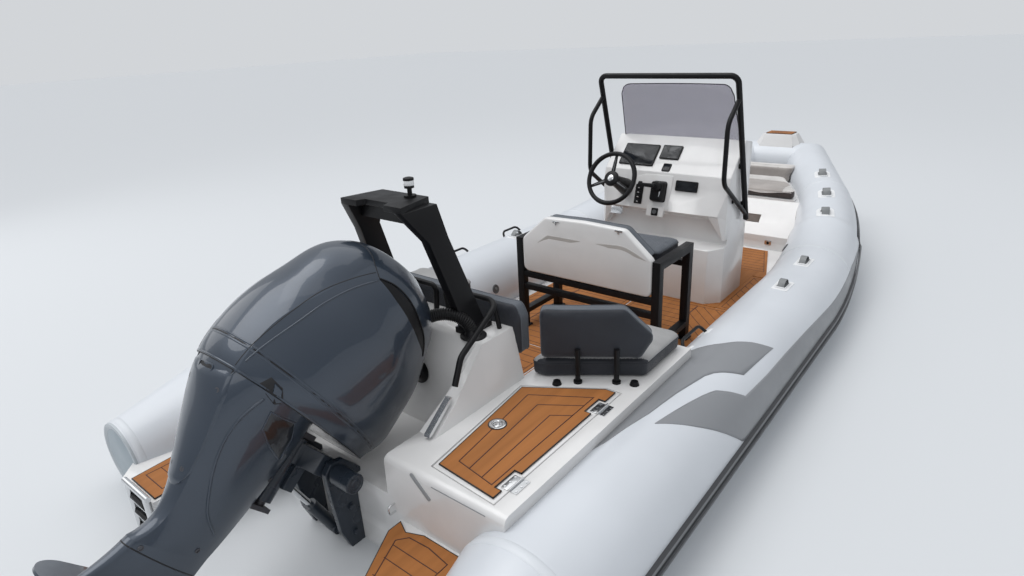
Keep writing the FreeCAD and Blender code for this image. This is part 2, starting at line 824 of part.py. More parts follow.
keep("arch", solid("arch", make_arch()))
light_base = cylinder("light_base", "70", "sizes.arch_top_y + 52", "sizes.arch_top_z", "24", "7")
light_stem = cylinder("light_stem", "70", "sizes.arch_top_y + 52", "sizes.arch_top_z", "9", "sizes.light_post")
light_head = cylinder("light_head", "70", "sizes.arch_top_y + 52", "sizes.arch_top_z + sizes.light_post", "19", "38")
keep("stern_light", together("stern_light", [light_base, light_stem, light_head]))


# Grab rails on the box, one each side


def make_grab_rail():
    base = size("box_top")
    high = base + 118
    front = size("box_front") - 46
    line = [
        vec(40, front + 2, base - 4), vec(26, front, high), vec(326, front, high + 4), vec(372, 370, 700),
        vec(380, 318, 604),
    ]
    rail = rod(line, [32, 60, 20], 12)
    leg = rod([vec(300, front - 2, high - 4), vec(318, front + 6, base)], [], 10)
    return rail.fuse(leg)


grab_rail = cut("grab_rail", solid("grab_rail_blank", make_grab_rail()), PARTS["stern_moulding"])
keep("grab_rails", group("grab_rails", [grab_rail, mirrored("grab_rail_port", grab_rail)]))

# Helm seat: post frame, cushion, back shell and back cushion


def make_helm_frame():
    middle = size("helm_x")
    half = size("helm_half")
    post = size("helm_post")
    low = size("sole_top") + size("panel_thick")
    top = size("helm_post_top")
    pieces = []
    for side in (1, -1):
        for along in (size("helm_back_y"), size("helm_front_y") - post):
            pieces.append(Part.makeBox(post, post, top - low, vec(middle + side * (half - post / 2) - post / 2, along, low)))
        pieces.append(Part.makeBox(post, size("helm_front_y") - size("helm_back_y"), post,
                                   vec(middle + side * (half - post / 2) - post / 2, size("helm_back_y"), top - post)))
        pieces.append(Part.makeBox(post, size("helm_front_y") - size("helm_back_y"), 30,
                                   vec(middle + side * (half - post / 2) - post / 2, size("helm_back_y"), low + 80)))
    for along, height in ((size("helm_back_y"), 452), (size("helm_front_y") - post, 560), (size("helm_back_y"), 372)):
        pieces.append(Part.makeBox(2 * half - post, 34, 34, vec(middle - half + post / 2, along + 5, height)))
    for across in (-0.33, 0.33):
        pieces.append(Part.makeBox(34, size("helm_front_y") - size("helm_back_y") - 20, 34,
                                   vec(middle + across * half - 17, size("helm_back_y") + 10, 452)))
    return pieces[0].fuse(pieces[1:]).removeSplitter()


keep("helm_seat_frame", solid("helm_seat_frame", make_helm_frame()))

HELM_SHELL = [
    ("sizes.helm_x - sizes.helm_half + sizes.helm_post", "sizes.shell_bottom"),
    ("sizes.helm_x + sizes.helm_half - sizes.helm_post", "sizes.shell_bottom"),
    ("sizes.helm_x + sizes.helm_half - sizes.helm_post", "sizes.shell_top - 150"),
    ("sizes.helm_x + sizes.helm_half - 210", "sizes.shell_top - 8"),
    ("sizes.helm_x", "sizes.shell_top"),
    ("sizes.helm_x - sizes.helm_half + 210", "sizes.shell_top - 8"),
    ("sizes.helm_x - sizes.helm_half + sizes.helm_post", "sizes.shell_top - 150"),
]
keep("helm_back_shell", prism("helm_back_shell", "XZ_Plane", HELM_SHELL, "sizes.helm_back_y", "sizes.shell_thick"))
HELM_PAD = [
    ("sizes.helm_x - sizes.helm_half + sizes.helm_post + 10", "sizes.helm_seat_z + sizes.helm_cushion - 10"),
    ("sizes.helm_x + sizes.helm_half - sizes.helm_post - 10", "sizes.helm_seat_z + sizes.helm_cushion - 10"),
    ("sizes.helm_x + sizes.helm_half - sizes.helm_post - 10", "sizes.shell_top - 150"),
    ("sizes.helm_x + sizes.helm_half - 214", "sizes.shell_top + 4"),
    ("sizes.helm_x", "sizes.shell_top + 12"),
    ("sizes.helm_x - sizes.helm_half + 214", "sizes.shell_top + 4"),
    ("sizes.helm_x - sizes.helm_half + sizes.helm_post + 10", "sizes.shell_top - 150"),
]
keep("helm_back_cushion", prism("helm_back_cushion", "XZ_Plane", HELM_PAD,
                                "sizes.helm_back_y + sizes.shell_thick", "70"))
helm_pad = box("helm_pad", "sizes.helm_x - sizes.helm_half + sizes.helm_post + 6",
               "sizes.helm_back_y + sizes.shell_thick + 70", "sizes.helm_seat_z",
               "2 * sizes.helm_half - 2 * sizes.helm_post - 12",
               "sizes.helm_front_y - sizes.helm_back_y - sizes.shell_thick - 90", "sizes.helm_cushion")
keep("helm_seat_cushion", helm_pad)

# Console: moulded shell, hollow inside


def console_solid(shrink):
    middle = size("console_x")
    half = size("console_half") - shrink
    corner = size("console_corner")
    front_half = size("console_front_half") - shrink
    low = size("sole_top") - (0 if shrink == 0 else 5)
    plan = [
        (-half + corner, size("console_aft") + shrink), (half - corner, size("console_aft") + shrink),
        (half, size("console_aft") + corner + shrink * 0.6), (half, size("console_side_end")),
        (front_half, size("console_front") - shrink), (-front_half, size("console_front") - shrink),
        (-half, size("console_side_end")), (-half, size("console_aft") + corner + shrink * 0.6),
    ]
    block = Part.Face(ring_wire([vec(middle + x, y, low) for x, y in plan])).extrude(vec(0, 0, size("dash_top_z")))
    aft = size("console_aft") + shrink
    recess = size("console_recess")
    profile = [
        (aft, low - 10), (aft + 6, size("console_foot_top")), (aft + recess, size("console_foot_top") + 20),
        (aft + recess, size("dash_low_z") - 40), (aft + 38, size("dash_low_z")),
        (size("dash_knee_y") + shrink, size("dash_knee_z")), (size("dash_top_y") + shrink, size("dash_top_z") - shrink),
        (size("console_top_end"), size("dash_top_z") - 34 - shrink), (size("console_front") - shrink, 560),
        (size("console_front") - shrink, low - 10),
    ]
    side = Part.Face(ring_wire([vec(middle - 600, y, z) for y, z in profile])).extrude(vec(1200, 0, 0))
    body = block.common(side)
    # upper sides lean in above the knee
    return body


def dash_block(across, up, wide, tall, thick, panel):
    # block on one of the two dash panels: across from the middle, up along the panel from the knee
    lower = vec(size("console_x"), size("console_aft") + 38, size("dash_low_z"))
    knee = vec(size("console_x"), size("dash_knee_y"), size("dash_knee_z"))
    top = vec(size("console_x"), size("dash_top_y"), size("dash_top_z"))
    base, rise = (knee, (top - knee).normalize()) if panel == "upper" else (lower, (knee - lower).normalize())
    out = rise.cross(vec(1, 0, 0)) * -1
    block = Part.makeBox(wide, tall, thick, vec(-wide / 2, -tall / 2, 0))
    matrix = FreeCAD.Matrix(1, 0, 0, base.x + across + rise.x * up, 0, rise.y, out.y, base.y + rise.y * up,
                            0, rise.z, out.z, base.z + rise.z * up, 0, 0, 0, 1)
    return block.transformGeometry(matrix)


def make_console():
    outer = console_solid(0)
    inner = console_solid(size("console_wall"))
    shell = outer.cut(inner)
    return shell.fuse(dash_block(-20, -10, 118, 66, 14, "lower")).removeSplitter()


keep("console", solid("console", make_console()))



# columns: across, up the panel, width, height, thickness, panel
DASH_ITEMS = [
    (-225, 121, 248, 168, 12, "upper"), (-10, 155, 135, 107, 12, "upper"), (1, 38, 56, 60, 8, "upper"),
    (-155, 88, 54, 128, 12, "lower"), (165, 169, 148, 66, 10, "lower"), (-20, -14, 46, 50, 20, "lower"),
]
dash_pieces = [dash_block(*item) for item in DASH_ITEMS]
dash_loose = solid("dash_loose", Part.makeCompound(dash_pieces))
keep("dash_panels", cut("dash_panels", dash_loose, PARTS["console"]))


def make_throttle():
    body = dash_block(-14, 118, 92, 128, 52, "lower")
    hub = dash_block(-14, 150, 62, 62, 82, "lower")
    arm = dash_block(-66, 150, 120, 24, 108, "lower").cut(dash_block(-66, 150, 130, 30, 80, "lower"))
    return body.fuse([hub, arm]).removeSplitter()


keep("throttle", solid("throttle", make_throttle()))


def make_windshield():
    middle = size("console_x")
    half = size("glass_half")
    low = vec(0, size("glass_foot_y"), size("dash_top_z") - 30)
    high = vec(0, size("glass_top_y"), size("glass_top_z"))
    # plan arcs at the foot and the top, ruled between them
    rings = []
    for level, wide, sweep in ((low, half + 30, 90), (high, half, 60)):
        outer = Part.Arc(vec(middle - wide, level.y - sweep, level.z), vec(middle, level.y, level.z),
                         vec(middle + wide, level.y - sweep, level.z)).toShape()
        inner = Part.Arc(vec(middle + wide - 5, level.y - sweep - size("glass_thick"), level.z),
                         vec(middle, level.y - size("glass_thick"), level.z),
                         vec(middle - wide + 5, level.y - sweep - size("glass_thick"), level.z)).toShape()
        links = [Part.LineSegment(outer.valueAt(outer.LastParameter), inner.valueAt(inner.FirstParameter)).toShape(),
                 Part.LineSegment(inner.valueAt(inner.LastParameter), outer.valueAt(outer.FirstParameter)).toShape()]
        rings.append(Part.Wire([outer, links[0], inner, links[1]]))
    glass = Part.makeLoft(rings, True, True)
    return glass


windshield_blank = solid("windshield_blank", make_windshield())
keep("windshield", cut("windshield", windshield_blank, PARTS["console"]))


def make_console_frame():
    middle = size("console_x")
    half = size("frame_half")
    radius = size("frame_tube")
    top_y = size("frame_top_y")
    top_z = size("frame_top_z")
    foot_y = size("frame_foot_y")
    foot_z = size("frame_foot_z")
    main = rod([
        vec(middle - half - 14, foot_y, foot_z), vec(middle - half, top_y, top_z),
        vec(middle + half, top_y, top_z), vec(middle + half + 14, foot_y, foot_z)], [46, 46], radius)
    pieces = [main]
    for side in (1, -1):
        at = middle + side * half
        hoop = rod([
            vec(at + side * 2, top_y + 42, top_z - 130), vec(at + side * 3, top_y - 112, 1270),
            vec(at + side * 6, top_y - 118, 926), vec(at + side * 12, foot_y - 24, 664)], [50, 50], radius - 3)
        pieces.append(hoop)
        for height, share in ((980, 0.60), (725, 0.885)):
            along = top_y + (foot_y - top_y) * share
            stub = Part.makeCylinder(8, half + 14 - size("console_half") + 4,
                                     vec(middle + side * (size("console_half") - 2), along, height), vec(side, 0, 0))
            pieces.append(stub)
        pieces.append(Part.makeCylinder(8, half + 10 - size("console_half"),
                                        vec(middle + side * (size("console_half") - 2), 2716, 776), vec(side, 0, 0)))
    return pieces[0].fuse(pieces[1:])


frame_blank = solid("frame_blank", make_console_frame())
keep("console_frame", cut("console_frame", frame_blank, PARTS["console"]))


# Steering wheel on its column


def wheel_place():
    return FreeCAD.Placement(vec(size("wheel_x"), size("wheel_y"), size("wheel_z")),
                             FreeCAD.Rotation(vec(1, 0, 0), 90 - size("wheel_tilt")))


def make_wheel():
    # in its own frame the wheel's face looks along +Z
    rim = Part.makeTorus(size("wheel_radius"), size("wheel_rim"))
    hub = Part.makeCylinder(34, 26, vec(0, 0, -26))
    pieces = [hub]
    for turn in (90, 205, 335):
        spoke = Part.makeBox(size("wheel_radius") - 22, 20, 6, vec(20, -10, -6))
        spoke.rotate(vec(0, 0, 0), vec(0, 0, 1), turn)
        pieces.append(spoke)
    return rim.fuse(pieces)


def make_column():
    long = size("column_length")
    cone = Part.makeCone(58, 34, long - 27, vec(0, 0, -long - 20))
    return cone.fuse(Part.makeCylinder(15, long, vec(0, 0, -long - 27)))


wheel = keep("steering_wheel", solid("steering_wheel", make_wheel()))
wheel.Placement = wheel_place()
column_blank = solid("column_blank", make_column())
column_blank.Placement = wheel_place()
keep("steering_column", cut("steering_column", column_blank, PARTS["console"]))


# Bow: seat locker, lid with its cushion, backrest cushion, step on the tube


def make_bow_seat():
    half = size("bow_seat_half")
    top = size("bow_seat_top")
    front = size("bow_seat_y")
    low = size("hull_top")
    riser = size("bow_riser_y")
    end = size("bow_seat_end")
    block = Part.Face(ring_wire([
        vec(-half, riser, low), vec(-half, riser, 225), vec(-half, front, top), vec(-half, end, top),
        vec(-half, end, low),
    ])).extrude(vec(2 * half, 0, 0))
    plan = Part.Face(ring_wire([
        vec(-half, riser, low), vec(half, riser, low), vec(half, front, low), vec(half * 0.45, end, low),
        vec(-half * 0.45, end, low), vec(-half, front, low),
    ])).extrude(vec(0, 0, top))
    block = block.common(plan)
    niche = Part.makeBox(2 * size("niche_half"), 150, 120, vec(180 - size("niche_half"), front - 140, 238))
    locker = Part.makeBox(560, 400, top, vec(-280, front + 90, 290))
    return block.cut(niche).cut(locker)


bow_blank = solid("bow_blank", make_bow_seat())
bow_on_hull = cut("bow_on_hull", bow_blank, hull_blank)
bow_dry = cut("bow_dry", bow_on_hull, solid("water_side", make_water_side()))
keep("bow_locker", cut("bow_locker", bow_dry, all_tubes))


def bow_lid_ring(inset, height):
    # plan of the bow lid, narrow enough in front to swing up between the tubes
    aft = size("bow_seat_y") + inset
    back = size("bow_seat_end") - 340 - inset
    wide = size("bow_lid_aft_half") - inset
    slim = size("bow_lid_fwd_half") - inset
    return ring_wire([
        vec(-wide, aft, height), vec(wide, aft, height), vec(wide, aft + 70, height), vec(slim, back, height),
        vec(-slim, back, height), vec(-wide, aft + 70, height)])


def make_bow_board():
    low = size("bow_seat_top")
    board = Part.Face(bow_lid_ring(0, low + 0.3)).extrude(vec(0, 0, size("bow_lid_thick") - 0.3))
    for across in (-190, 130):
        knuckle = Part.makeCylinder(7, 60, vec(across, size("bow_seat_end") - 333, low + 7.5), vec(1, 0, 0))
        board = board.fuse(knuckle)
    return board.removeSplitter()


keep("bow_lid_board", solid("bow_lid_board", make_bow_board()))
bow_cushion = Part.Face(bow_lid_ring(4, size("bow_seat_top") + size("bow_lid_thick"))).extrude(
    vec(0, 0, size("bow_cushion")))
keep("bow_seat_cushion", solid("bow_seat_cushion", bow_cushion))
bow_tubes_clear = group("bow_tubes_clear", [tube_starboard, tube_port])
bow_back = box("bow_back", "-330", "sizes.bow_seat_end - 220", "sizes.bow_seat_top", "660", "120", "150")
keep("bow_back_cushion", cut("bow_back_cushion", bow_back, bow_tubes_clear))


def make_bow_step():
    half = size("bow_step_half")
    low = size("bow_step_base")
    top = size("bow_step_top")
    aft = size("tube_corner_y") - size("tube_bow_radius") * 0.62
    fore = size("tube_corner_y") + size("tube_bow_radius") * 0.9
    foot = ring_wire([
        vec(-half - 50, aft + 50, low), vec(-half + 20, aft, low), vec(half - 20, aft, low), vec(half + 50, aft + 50, low),
        vec(half + 50, fore - 60, low), vec(half - 40, fore, low), vec(-half + 40, fore, low), vec(-half - 50, fore - 60, low)])
    crown = ring_wire([
        vec(-half + 30, aft + 100, top), vec(-half + 60, aft + 62, top), vec(half - 60, aft + 62, top),
        vec(half - 30, aft + 100, top), vec(half - 30, fore - 100, top), vec(half - 70, fore - 50, top),
        vec(-half + 70, fore - 50, top), vec(-half + 30, fore - 100, top)])
    return Part.makeLoft([foot, crown], True, True)


keep("bow_step", cut("bow_step", solid("bow_step_blank", make_bow_step()), all_tubes))
bow_pad = box("bow_step_pad", "-sizes.bow_step_half + 62", "sizes.tube_corner_y - 40", "sizes.bow_step_top",
              "2 * sizes.bow_step_half - 124", "150", "sizes.panel_thick")
keep("bow_step_pad", bow_pad)


# Outboard motor, built upright about its tilt tube and raised by tilt_raise


def raised(item):
    item.Placement = FreeCAD.Placement(vec(0, size("tilt_y"), size("tilt_z")),
                                       FreeCAD.Rotation(vec(1, 0, 0), -size("tilt_raise")))
    return item


def plan_ring(height, rear, rear_half, rear_corner, half, half_place, front_half, front_corner, front):
    # level section: bowed rear, bowed sides and bowed front, alike on both sides
    corners = [vec(-rear_half, rear_corner, height), vec(rear_half, rear_corner, height),
               vec(front_half, front_corner, height), vec(-front_half, front_corner, height)]
    bows = [vec(0, rear, height), vec(half, half_place, height), vec(0, front, height), vec(-half, half_place, height)]
    edges = []
    for index in range(4):
        edges.append(Part.Arc(corners[index], bows[index], corners[(index + 1) % 4]).toShape())
    return Part.Wire(edges)


# columns: height, rear middle, rear corner across and along, side across and along, front corner across
# and along, front middle
COWL = [
    (60, -585, 112, -560, 196, -230, 118, 96, 122), (150, -608, 122, -578, 236, -230, 140, 122, 152),
    (240, -612, 126, -580, 256, -225, 150, 134, 168), (340, -598, 134, -562, 258, -215, 150, 140, 176),
    (440, -572, 148, -516, 252, -200, 144, 140, 174), (540, -530, 150, -450, 232, -180, 132, 118, 150),
    (630, -490, 146, -396, 220, -160, 130, 86, 118), (700, -436, 132, -344, 186, -150, 108, 34, 62),
    (745, -372, 104, -304, 138, -160, 82, -32, -8), (768, -286, 56, -250, 74, -180, 40, -108, -96),
]
# the same columns for the leg between the cowl and the gearcase
LEG = [
    (150, -602, 108, -574, 208, -380, 92, -174, -166), (110, -596, 107, -569, 188, -380, 91, -176, -168), (20, -562, 98, -540, 158, -370, 84, -182, -174),
    (-90, -520, 80, -500, 128, -350, 74, -188, -178), (-215, -474, 54, -458, 96, -330, 58, -194, -186),
    (-320, -452, 36, -440, 70, -320, 44, -202, -194), (-410, -494, 28, -478, 56, -330, 34, -216, -208),
]


def outline_loft(table, inset=0):
    rings = []
    for height, rear, rear_half, rear_corner, half, half_place, front_half, front_corner, front in table:
        rings.append(plan_ring(height, rear + inset, rear_half - inset * 0.5, rear_corner + inset, half - inset,
                               half_place, front_half - inset * 0.5, front_corner - inset, front - inset))
    return Part.makeLoft(rings, True, False)


def sloped_cut(rear_word, front_word, reach=900):
    # block above a plane that falls from the cowl's rear to its front
    rear = size(rear_word)
    front = size(front_word)
    fall = (front - rear) / 714
    ring = ring_wire([vec(-reach, -reach, rear + (-reach + 650) * fall), vec(-reach, reach, rear + (reach + 650) * fall),
                      vec(-reach, reach, 2 * reach), vec(-reach, -reach, 2 * reach)])
    return Part.Face(ring).extrude(vec(2 * reach, 0, 0))


def make_cowl():
    whole = outline_loft(COWL)
    hollow = outline_loft(COWL[:-1], size("cowl_wall") + 6)
    upper = sloped_cut("cowl_seam_rear", "cowl_seam_front")
    lower = sloped_cut("cowl_foot_rear", "cowl_foot_front")
    tray = sloped_cut("cowl_tray_rear", "cowl_tray_front")
    top = whole.common(upper).cut(hollow)
    bottom = whole.common(lower).cut(upper).cut(hollow.common(tray))
    return top, bottom


cowl_top_shape, cowl_low_shape = make_cowl()
raised(keep("cowl_top", solid("cowl_top", cowl_top_shape)))
raised(keep("cowl_lower", solid("cowl_lower", cowl_low_shape)))
engine = Part.makeBox(270, 430, 380, vec(-135, -470, 120)).common(sloped_cut("cowl_tray_rear", "cowl_tray_front"))
raised(keep("engine_block", solid("engine_block", engine)))


def make_midsection():
    return outline_loft(LEG).cut(sloped_cut("cowl_foot_rear", "cowl_foot_front"))


raised(keep("midsection", solid("midsection", make_midsection())))


def make_gearcase():
    plate = -size("plate_drop")
    shaft = -size("shaft_drop")
    skeg = -size("skeg_drop")
    neck = outline_loft([
        (-410, -494, 28, -478, 56, -330, 34, -216, -208), (-480, -520, 24, -506, 46, -340, 28, -222, -214),
        (plate, -566, 18, -552, 38, -350, 22, -226, -218)])
    leg = outline_loft([
        (plate, -512, 10, -504, 34, -350, 16, -230, -222), (shaft, -476, 10, -468, 32, -350, 14, -240, -232)])
    anti = Part.Face(Part.Wire([
        Part.Arc(vec(-118, -560, plate), vec(0, -668, plate), vec(118, -560, plate)).toShape(),
        Part.LineSegment(vec(118, -560, plate), vec(96, -330, plate)).toShape(),
        Part.Arc(vec(96, -330, plate), vec(0, -196, plate), vec(-96, -330, plate)).toShape(),
        Part.LineSegment(vec(-96, -330, plate), vec(-118, -560, plate)).toShape(),
    ])).extrude(vec(0, 0, 8))
    barrel = Part.makeCylinder(56, 262, vec(0, -500, shaft), vec(0, 1, 0))
    nose = Part.makeCone(56, 14, 96, vec(0, -238, shaft), vec(0, 1, 0))
    fin = Part.Face(ring_wire([
        vec(-6, -470, shaft), vec(-6, -250, shaft), vec(-6, -330, skeg), vec(-6, -452, skeg)])).extrude(vec(12, 0, 0))
    stub = Part.makeCylinder(12, 160, vec(0, -638, shaft), vec(0, 1, 0))
    return neck.fuse([leg, anti, barrel, nose, fin, stub]).removeSplitter()


raised(keep("gearcase", solid("gearcase", make_gearcase())))


def make_propeller():
    radius = size("prop_radius")
    shaft = -size("shaft_drop")
    hub = Part.makeCylinder(50, 116, vec(0, -622, shaft), vec(0, 1, 0))
    bore = Part.makeCylinder(12.05, 200, vec(0, -660, shaft), vec(0, 1, 0))
    blades = []
    for count in range(3):
        # columns: distance out, half chord, blade angle
        rings = []
        for out, chord, angle in ((40, 34, 62), (110, 74, 44), (radius - 8, 46, 32)):
            lean = math.radians(angle)
            dx = chord * math.cos(lean)
            dy = chord * math.sin(lean)
            rings.append(ring_wire([
                vec(-dx, -564 - dy, shaft + out), vec(-dx * 0.2 + 3, -564 - dy * 0.2 - 3, shaft + out),
                vec(dx, -564 + dy, shaft + out), vec(-dx * 0.2 - 3, -564 - dy * 0.2 + 3, shaft + out)]))
        blade = Part.makeLoft(rings, True, True)
        blade.rotate(vec(0, 0, shaft), vec(0, 1, 0), 120 * count)
        blades.append(blade)
    return hub.fuse(blades).cut(bore)


raised(keep("propeller", solid("propeller", make_propeller())))


# Mounting: clamp arms on the transom, tilt tube, swivel bracket, trim cylinder


def make_clamp():
    inner = size("arm_inner")
    thick = size("arm_thick")
    level = size("tilt_z")
    hinge = size("tilt_y")
    top = size("transom_top")
    pieces = []
    for side in (1, -1):
        profile = ring_wire([
            vec(0, hinge - 40, level + 8), vec(0, hinge - 12, level + 40), vec(0, hinge + 44, level + 32),
            vec(0, 28, top + 20), vec(0, 28, top + 0.3), vec(0, -0.3, top + 0.3), vec(0, -0.3, -30),
            vec(0, -52, -30), vec(0, -96, 90), vec(0, -112, 250)])
        arm = Part.Face(profile).extrude(vec(thick * side, 0, 0))
        arm.translate(vec(inner * side, 0, 0))
        pieces.append(arm)
    tube = Part.makeCylinder(24, 2 * size("tilt_tube_end") - 30, vec(-size("tilt_tube_end") + 30, hinge, level), vec(1, 0, 0))
    cap = Part.makeCylinder(38, 92, vec(size("tilt_tube_end") - 80, hinge, level), vec(1, 0, 0))
    pin = Part.makeCylinder(13, 2 * inner + 10, vec(-inner - 5, size("trim_pin_y"), size("trim_pin_z")), vec(1, 0, 0))
    return pieces[0].fuse([pieces[1], tube, cap, pin]).removeSplitter()


keep("clamp_bracket", solid("clamp_bracket", make_clamp()))


def make_swivel():
    inner = size("arm_inner") - 6
    post = -size("swivel_back")
    barrel = Part.makeCylinder(36, 240, vec(0, post, -190))
    yoke = Part.Face(ring_wire([
        vec(-inner, 38, -38), vec(inner, 38, -38), vec(inner, -56, -38), vec(40, -98, -38), vec(40, post, -38),
        vec(-40, post, -38), vec(-40, -98, -38), vec(-inner, -56, -38)])).extrude(vec(0, 0, 76))
    lug = Part.makeBox(96, 48, 92, vec(-48, -102, -130)).cut(Part.makeBox(68, 60, 120, vec(-34, -86, -150)))
    yoke = yoke.fuse(lug)
    bore = Part.makeCylinder(24.05, 400, vec(-200, 0, 0), vec(1, 0, 0))
    kingpin = Part.makeCylinder(20.05, 500, vec(0, post, -320))
    return yoke.fuse(barrel).cut(bore).cut(kingpin).removeSplitter()


raised(keep("swivel_bracket", solid("swivel_bracket", make_swivel())))


def make_kingpin():
    post = -size("swivel_back")
    pin = Part.makeCylinder(20, 270, vec(0, post, -206))
    head = Part.makeBox(100, 90, 20, vec(-50, post - 60, 57))
    foot = Part.makeBox(90, 96, 16, vec(-45, post - 72, -222))
    return pin.fuse([head, foot]).cut(make_midsection()).removeSplitter()


raised(keep("steering_pin", solid("steering_pin", make_kingpin())))


def make_trim(part):
    # from the pin low on the clamp arms up to the eye ahead of the swivel barrel
    low = vec(0, size("trim_pin_y"), size("trim_pin_z"))
    turn = math.radians(-size("tilt_raise"))
    eye = FreeCAD.Rotation(vec(1, 0, 0), math.degrees(turn)).multVec(
        vec(0, size("trim_eye_y"), size("trim_eye_z"))) + vec(0, size("tilt_y"), size("tilt_z"))
    way = (eye - low).normalize()
    long = (eye - low).Length
    if part == "barrel":
        tube = Part.makeCylinder(24, size("trim_barrel") - 20, low + way * 20, way)
        lug = Part.makeCylinder(24, 60, low - vec(30, 0, 0), vec(1, 0, 0))
        bore = Part.makeCylinder(13.05, 80, low - vec(40, 0, 0), vec(1, 0, 0))
        chamber = Part.makeCylinder(12.05, size("trim_barrel"), low + way * 32, way)
        return tube.fuse(lug).cut(bore).cut(chamber)
    start = size("trim_barrel") - 30
    return Part.makeCylinder(12, long - start - 22, low + way * start, way)


keep("trim_cylinder", solid("trim_cylinder", make_trim("barrel")))
keep("trim_rod", solid("trim_rod", make_trim("rod")))


# Ladder hung from the port platform's aft edge


def make_ladder():
    high = size("platform_top") + size("panel_thick") + size("ladder_tube") + 5
    aft = -size("platform_length") - size("ladder_tube")
    left = -size("ladder_out_x")
    right = left + size("ladder_wide")
    radius = size("ladder_tube")
    rails = []
    for across in (left, right):
        rails.append(Part.makeCylinder(radius, size("ladder_drop"), vec(across, aft, high - size("ladder_drop"))))
    for step in range(3):
        rails.append(Part.makeCylinder(radius - 3, right - left,
                                       vec(left, aft, high - size("ladder_drop") + 14 + 72 * step), vec(1, 0, 0)))
    rails.append(Part.makeCylinder(radius, right - left + 50, vec(left - 25, aft, high), vec(1, 0, 0)))
    return rails[0].fuse(rails[1:])


keep("boarding_ladder", solid("boarding_ladder", make_ladder()))


# Handles and step pads on the tubes

# columns: side, place along, angle up round the tube from level outward, length
HANDLES = [
    (1, 1560, 128, 250), (-1, 1060, 52, 200), (-1, 1900, 52, 200), (-1, 2500, 52, 200),
]


def make_handles():
    pieces = []
    for side, along, turn, long in HANDLES:
        angle = math.radians(turn)
        out = vec(side * math.cos(angle), 0, math.sin(angle))
        seat = vec(side * size("tube_spacing"), along, size("tube_height")) + out * (size("tube_radius") + 0.3)
        rise = out * 46
        run = vec(0, long / 2, 0)
        strap = rod([seat - run, seat - run * 0.8 + rise, seat + run * 0.8 + rise, seat + run], [26, 26], 8)
        pieces.append(strap)
    return Part.makeCompound(pieces)


keep("tube_handles", cut("tube_handles", solid("handles_blank", make_handles()), all_tubes))


def make_fittings():
    # mooring cleats on the well walls and towing eyes on the transom
    pieces = []
    for side in (1, -1):
        low = vec(side * 384, 152, 478)
        high = vec(side * 366, 300, 566)
        way = (high - low).normalize()
        across = way.cross(vec(0, 0, 1)).normalize()
        up = across.cross(way)
        profile = ring_wire([low, low + way * 14 - up * 9, high - way * 14 - up * 9, high, high - way * 8 + up * 7,
                             low + way * 8 + up * 7])
        bar = Part.Face(profile).extrude(across * 24)
        bar.translate(across * -12)
        middle = (low + high) * 0.5
        stem = Part.makeCylinder(9, 70, middle - up * 68, up)
        pieces.append(bar.fuse(stem))
        eye_z = size("platform_top") + 24
        hoop = rod([vec(side * 348, 4, eye_z), vec(side * 348, -30, eye_z), vec(side * 348, -30, eye_z + 34),
                    vec(side * 348, 4, eye_z + 34)], [12, 12], 4)
        pieces.append(hoop)
    return Part.makeCompound(pieces)


keep("deck_fittings", cut("deck_fittings", solid("fittings_blank", make_fittings()), PARTS["stern_moulding"]))

doc.recompute()
for item in doc.Objects:
    if "Invalid" in item.State or "Error" in item.State:
        raise RuntimeError("failed object: " + item.Name + " " + str(item.State))
for label, item in PARTS.items():
    if item.Shape.isNull() or not item.Shape.isValid():
        raise RuntimeError("bad shape: " + label)
    item.Shape.exportStep("parts/" + label + ".step")
print(len(PARTS), "parts written")
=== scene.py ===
# Looks for the rigid inflatable boat with its outboard raised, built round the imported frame.
import json
import math

import bmesh
import bpy
from mathutils import Matrix, Vector
from mathutils.bvhtree import BVHTree


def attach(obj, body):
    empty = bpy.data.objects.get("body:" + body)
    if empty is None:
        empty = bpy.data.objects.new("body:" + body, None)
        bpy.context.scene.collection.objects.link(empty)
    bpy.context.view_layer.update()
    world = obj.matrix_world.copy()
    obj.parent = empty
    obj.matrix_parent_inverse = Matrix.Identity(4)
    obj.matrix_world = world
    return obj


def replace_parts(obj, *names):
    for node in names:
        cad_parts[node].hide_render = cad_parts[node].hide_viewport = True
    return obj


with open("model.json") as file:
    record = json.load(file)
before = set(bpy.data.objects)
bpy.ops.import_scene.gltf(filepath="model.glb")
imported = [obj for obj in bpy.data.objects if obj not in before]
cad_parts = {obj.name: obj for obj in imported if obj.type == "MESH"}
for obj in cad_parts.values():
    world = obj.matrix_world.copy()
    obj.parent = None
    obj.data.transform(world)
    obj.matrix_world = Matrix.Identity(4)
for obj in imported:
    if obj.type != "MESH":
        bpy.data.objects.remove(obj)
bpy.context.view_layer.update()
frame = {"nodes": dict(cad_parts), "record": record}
print("frame loaded,", len(frame["nodes"]), "nodes")


def newObject(name, data):
    item = bpy.data.objects.new(name, data)
    bpy.context.scene.collection.objects.link(item)
    return item


cameraSetup = {
    "focal": 635.054,  # in pixels of a picture of the width below
    "pictureWidth": 1024,
    "sensor": 36,
    "yaw": 0.692569,
    "pitch": 0.380884,
    "roll": -0.0521093,
    "place": (1.86553559, -1.11220870, 1.80451090),
}


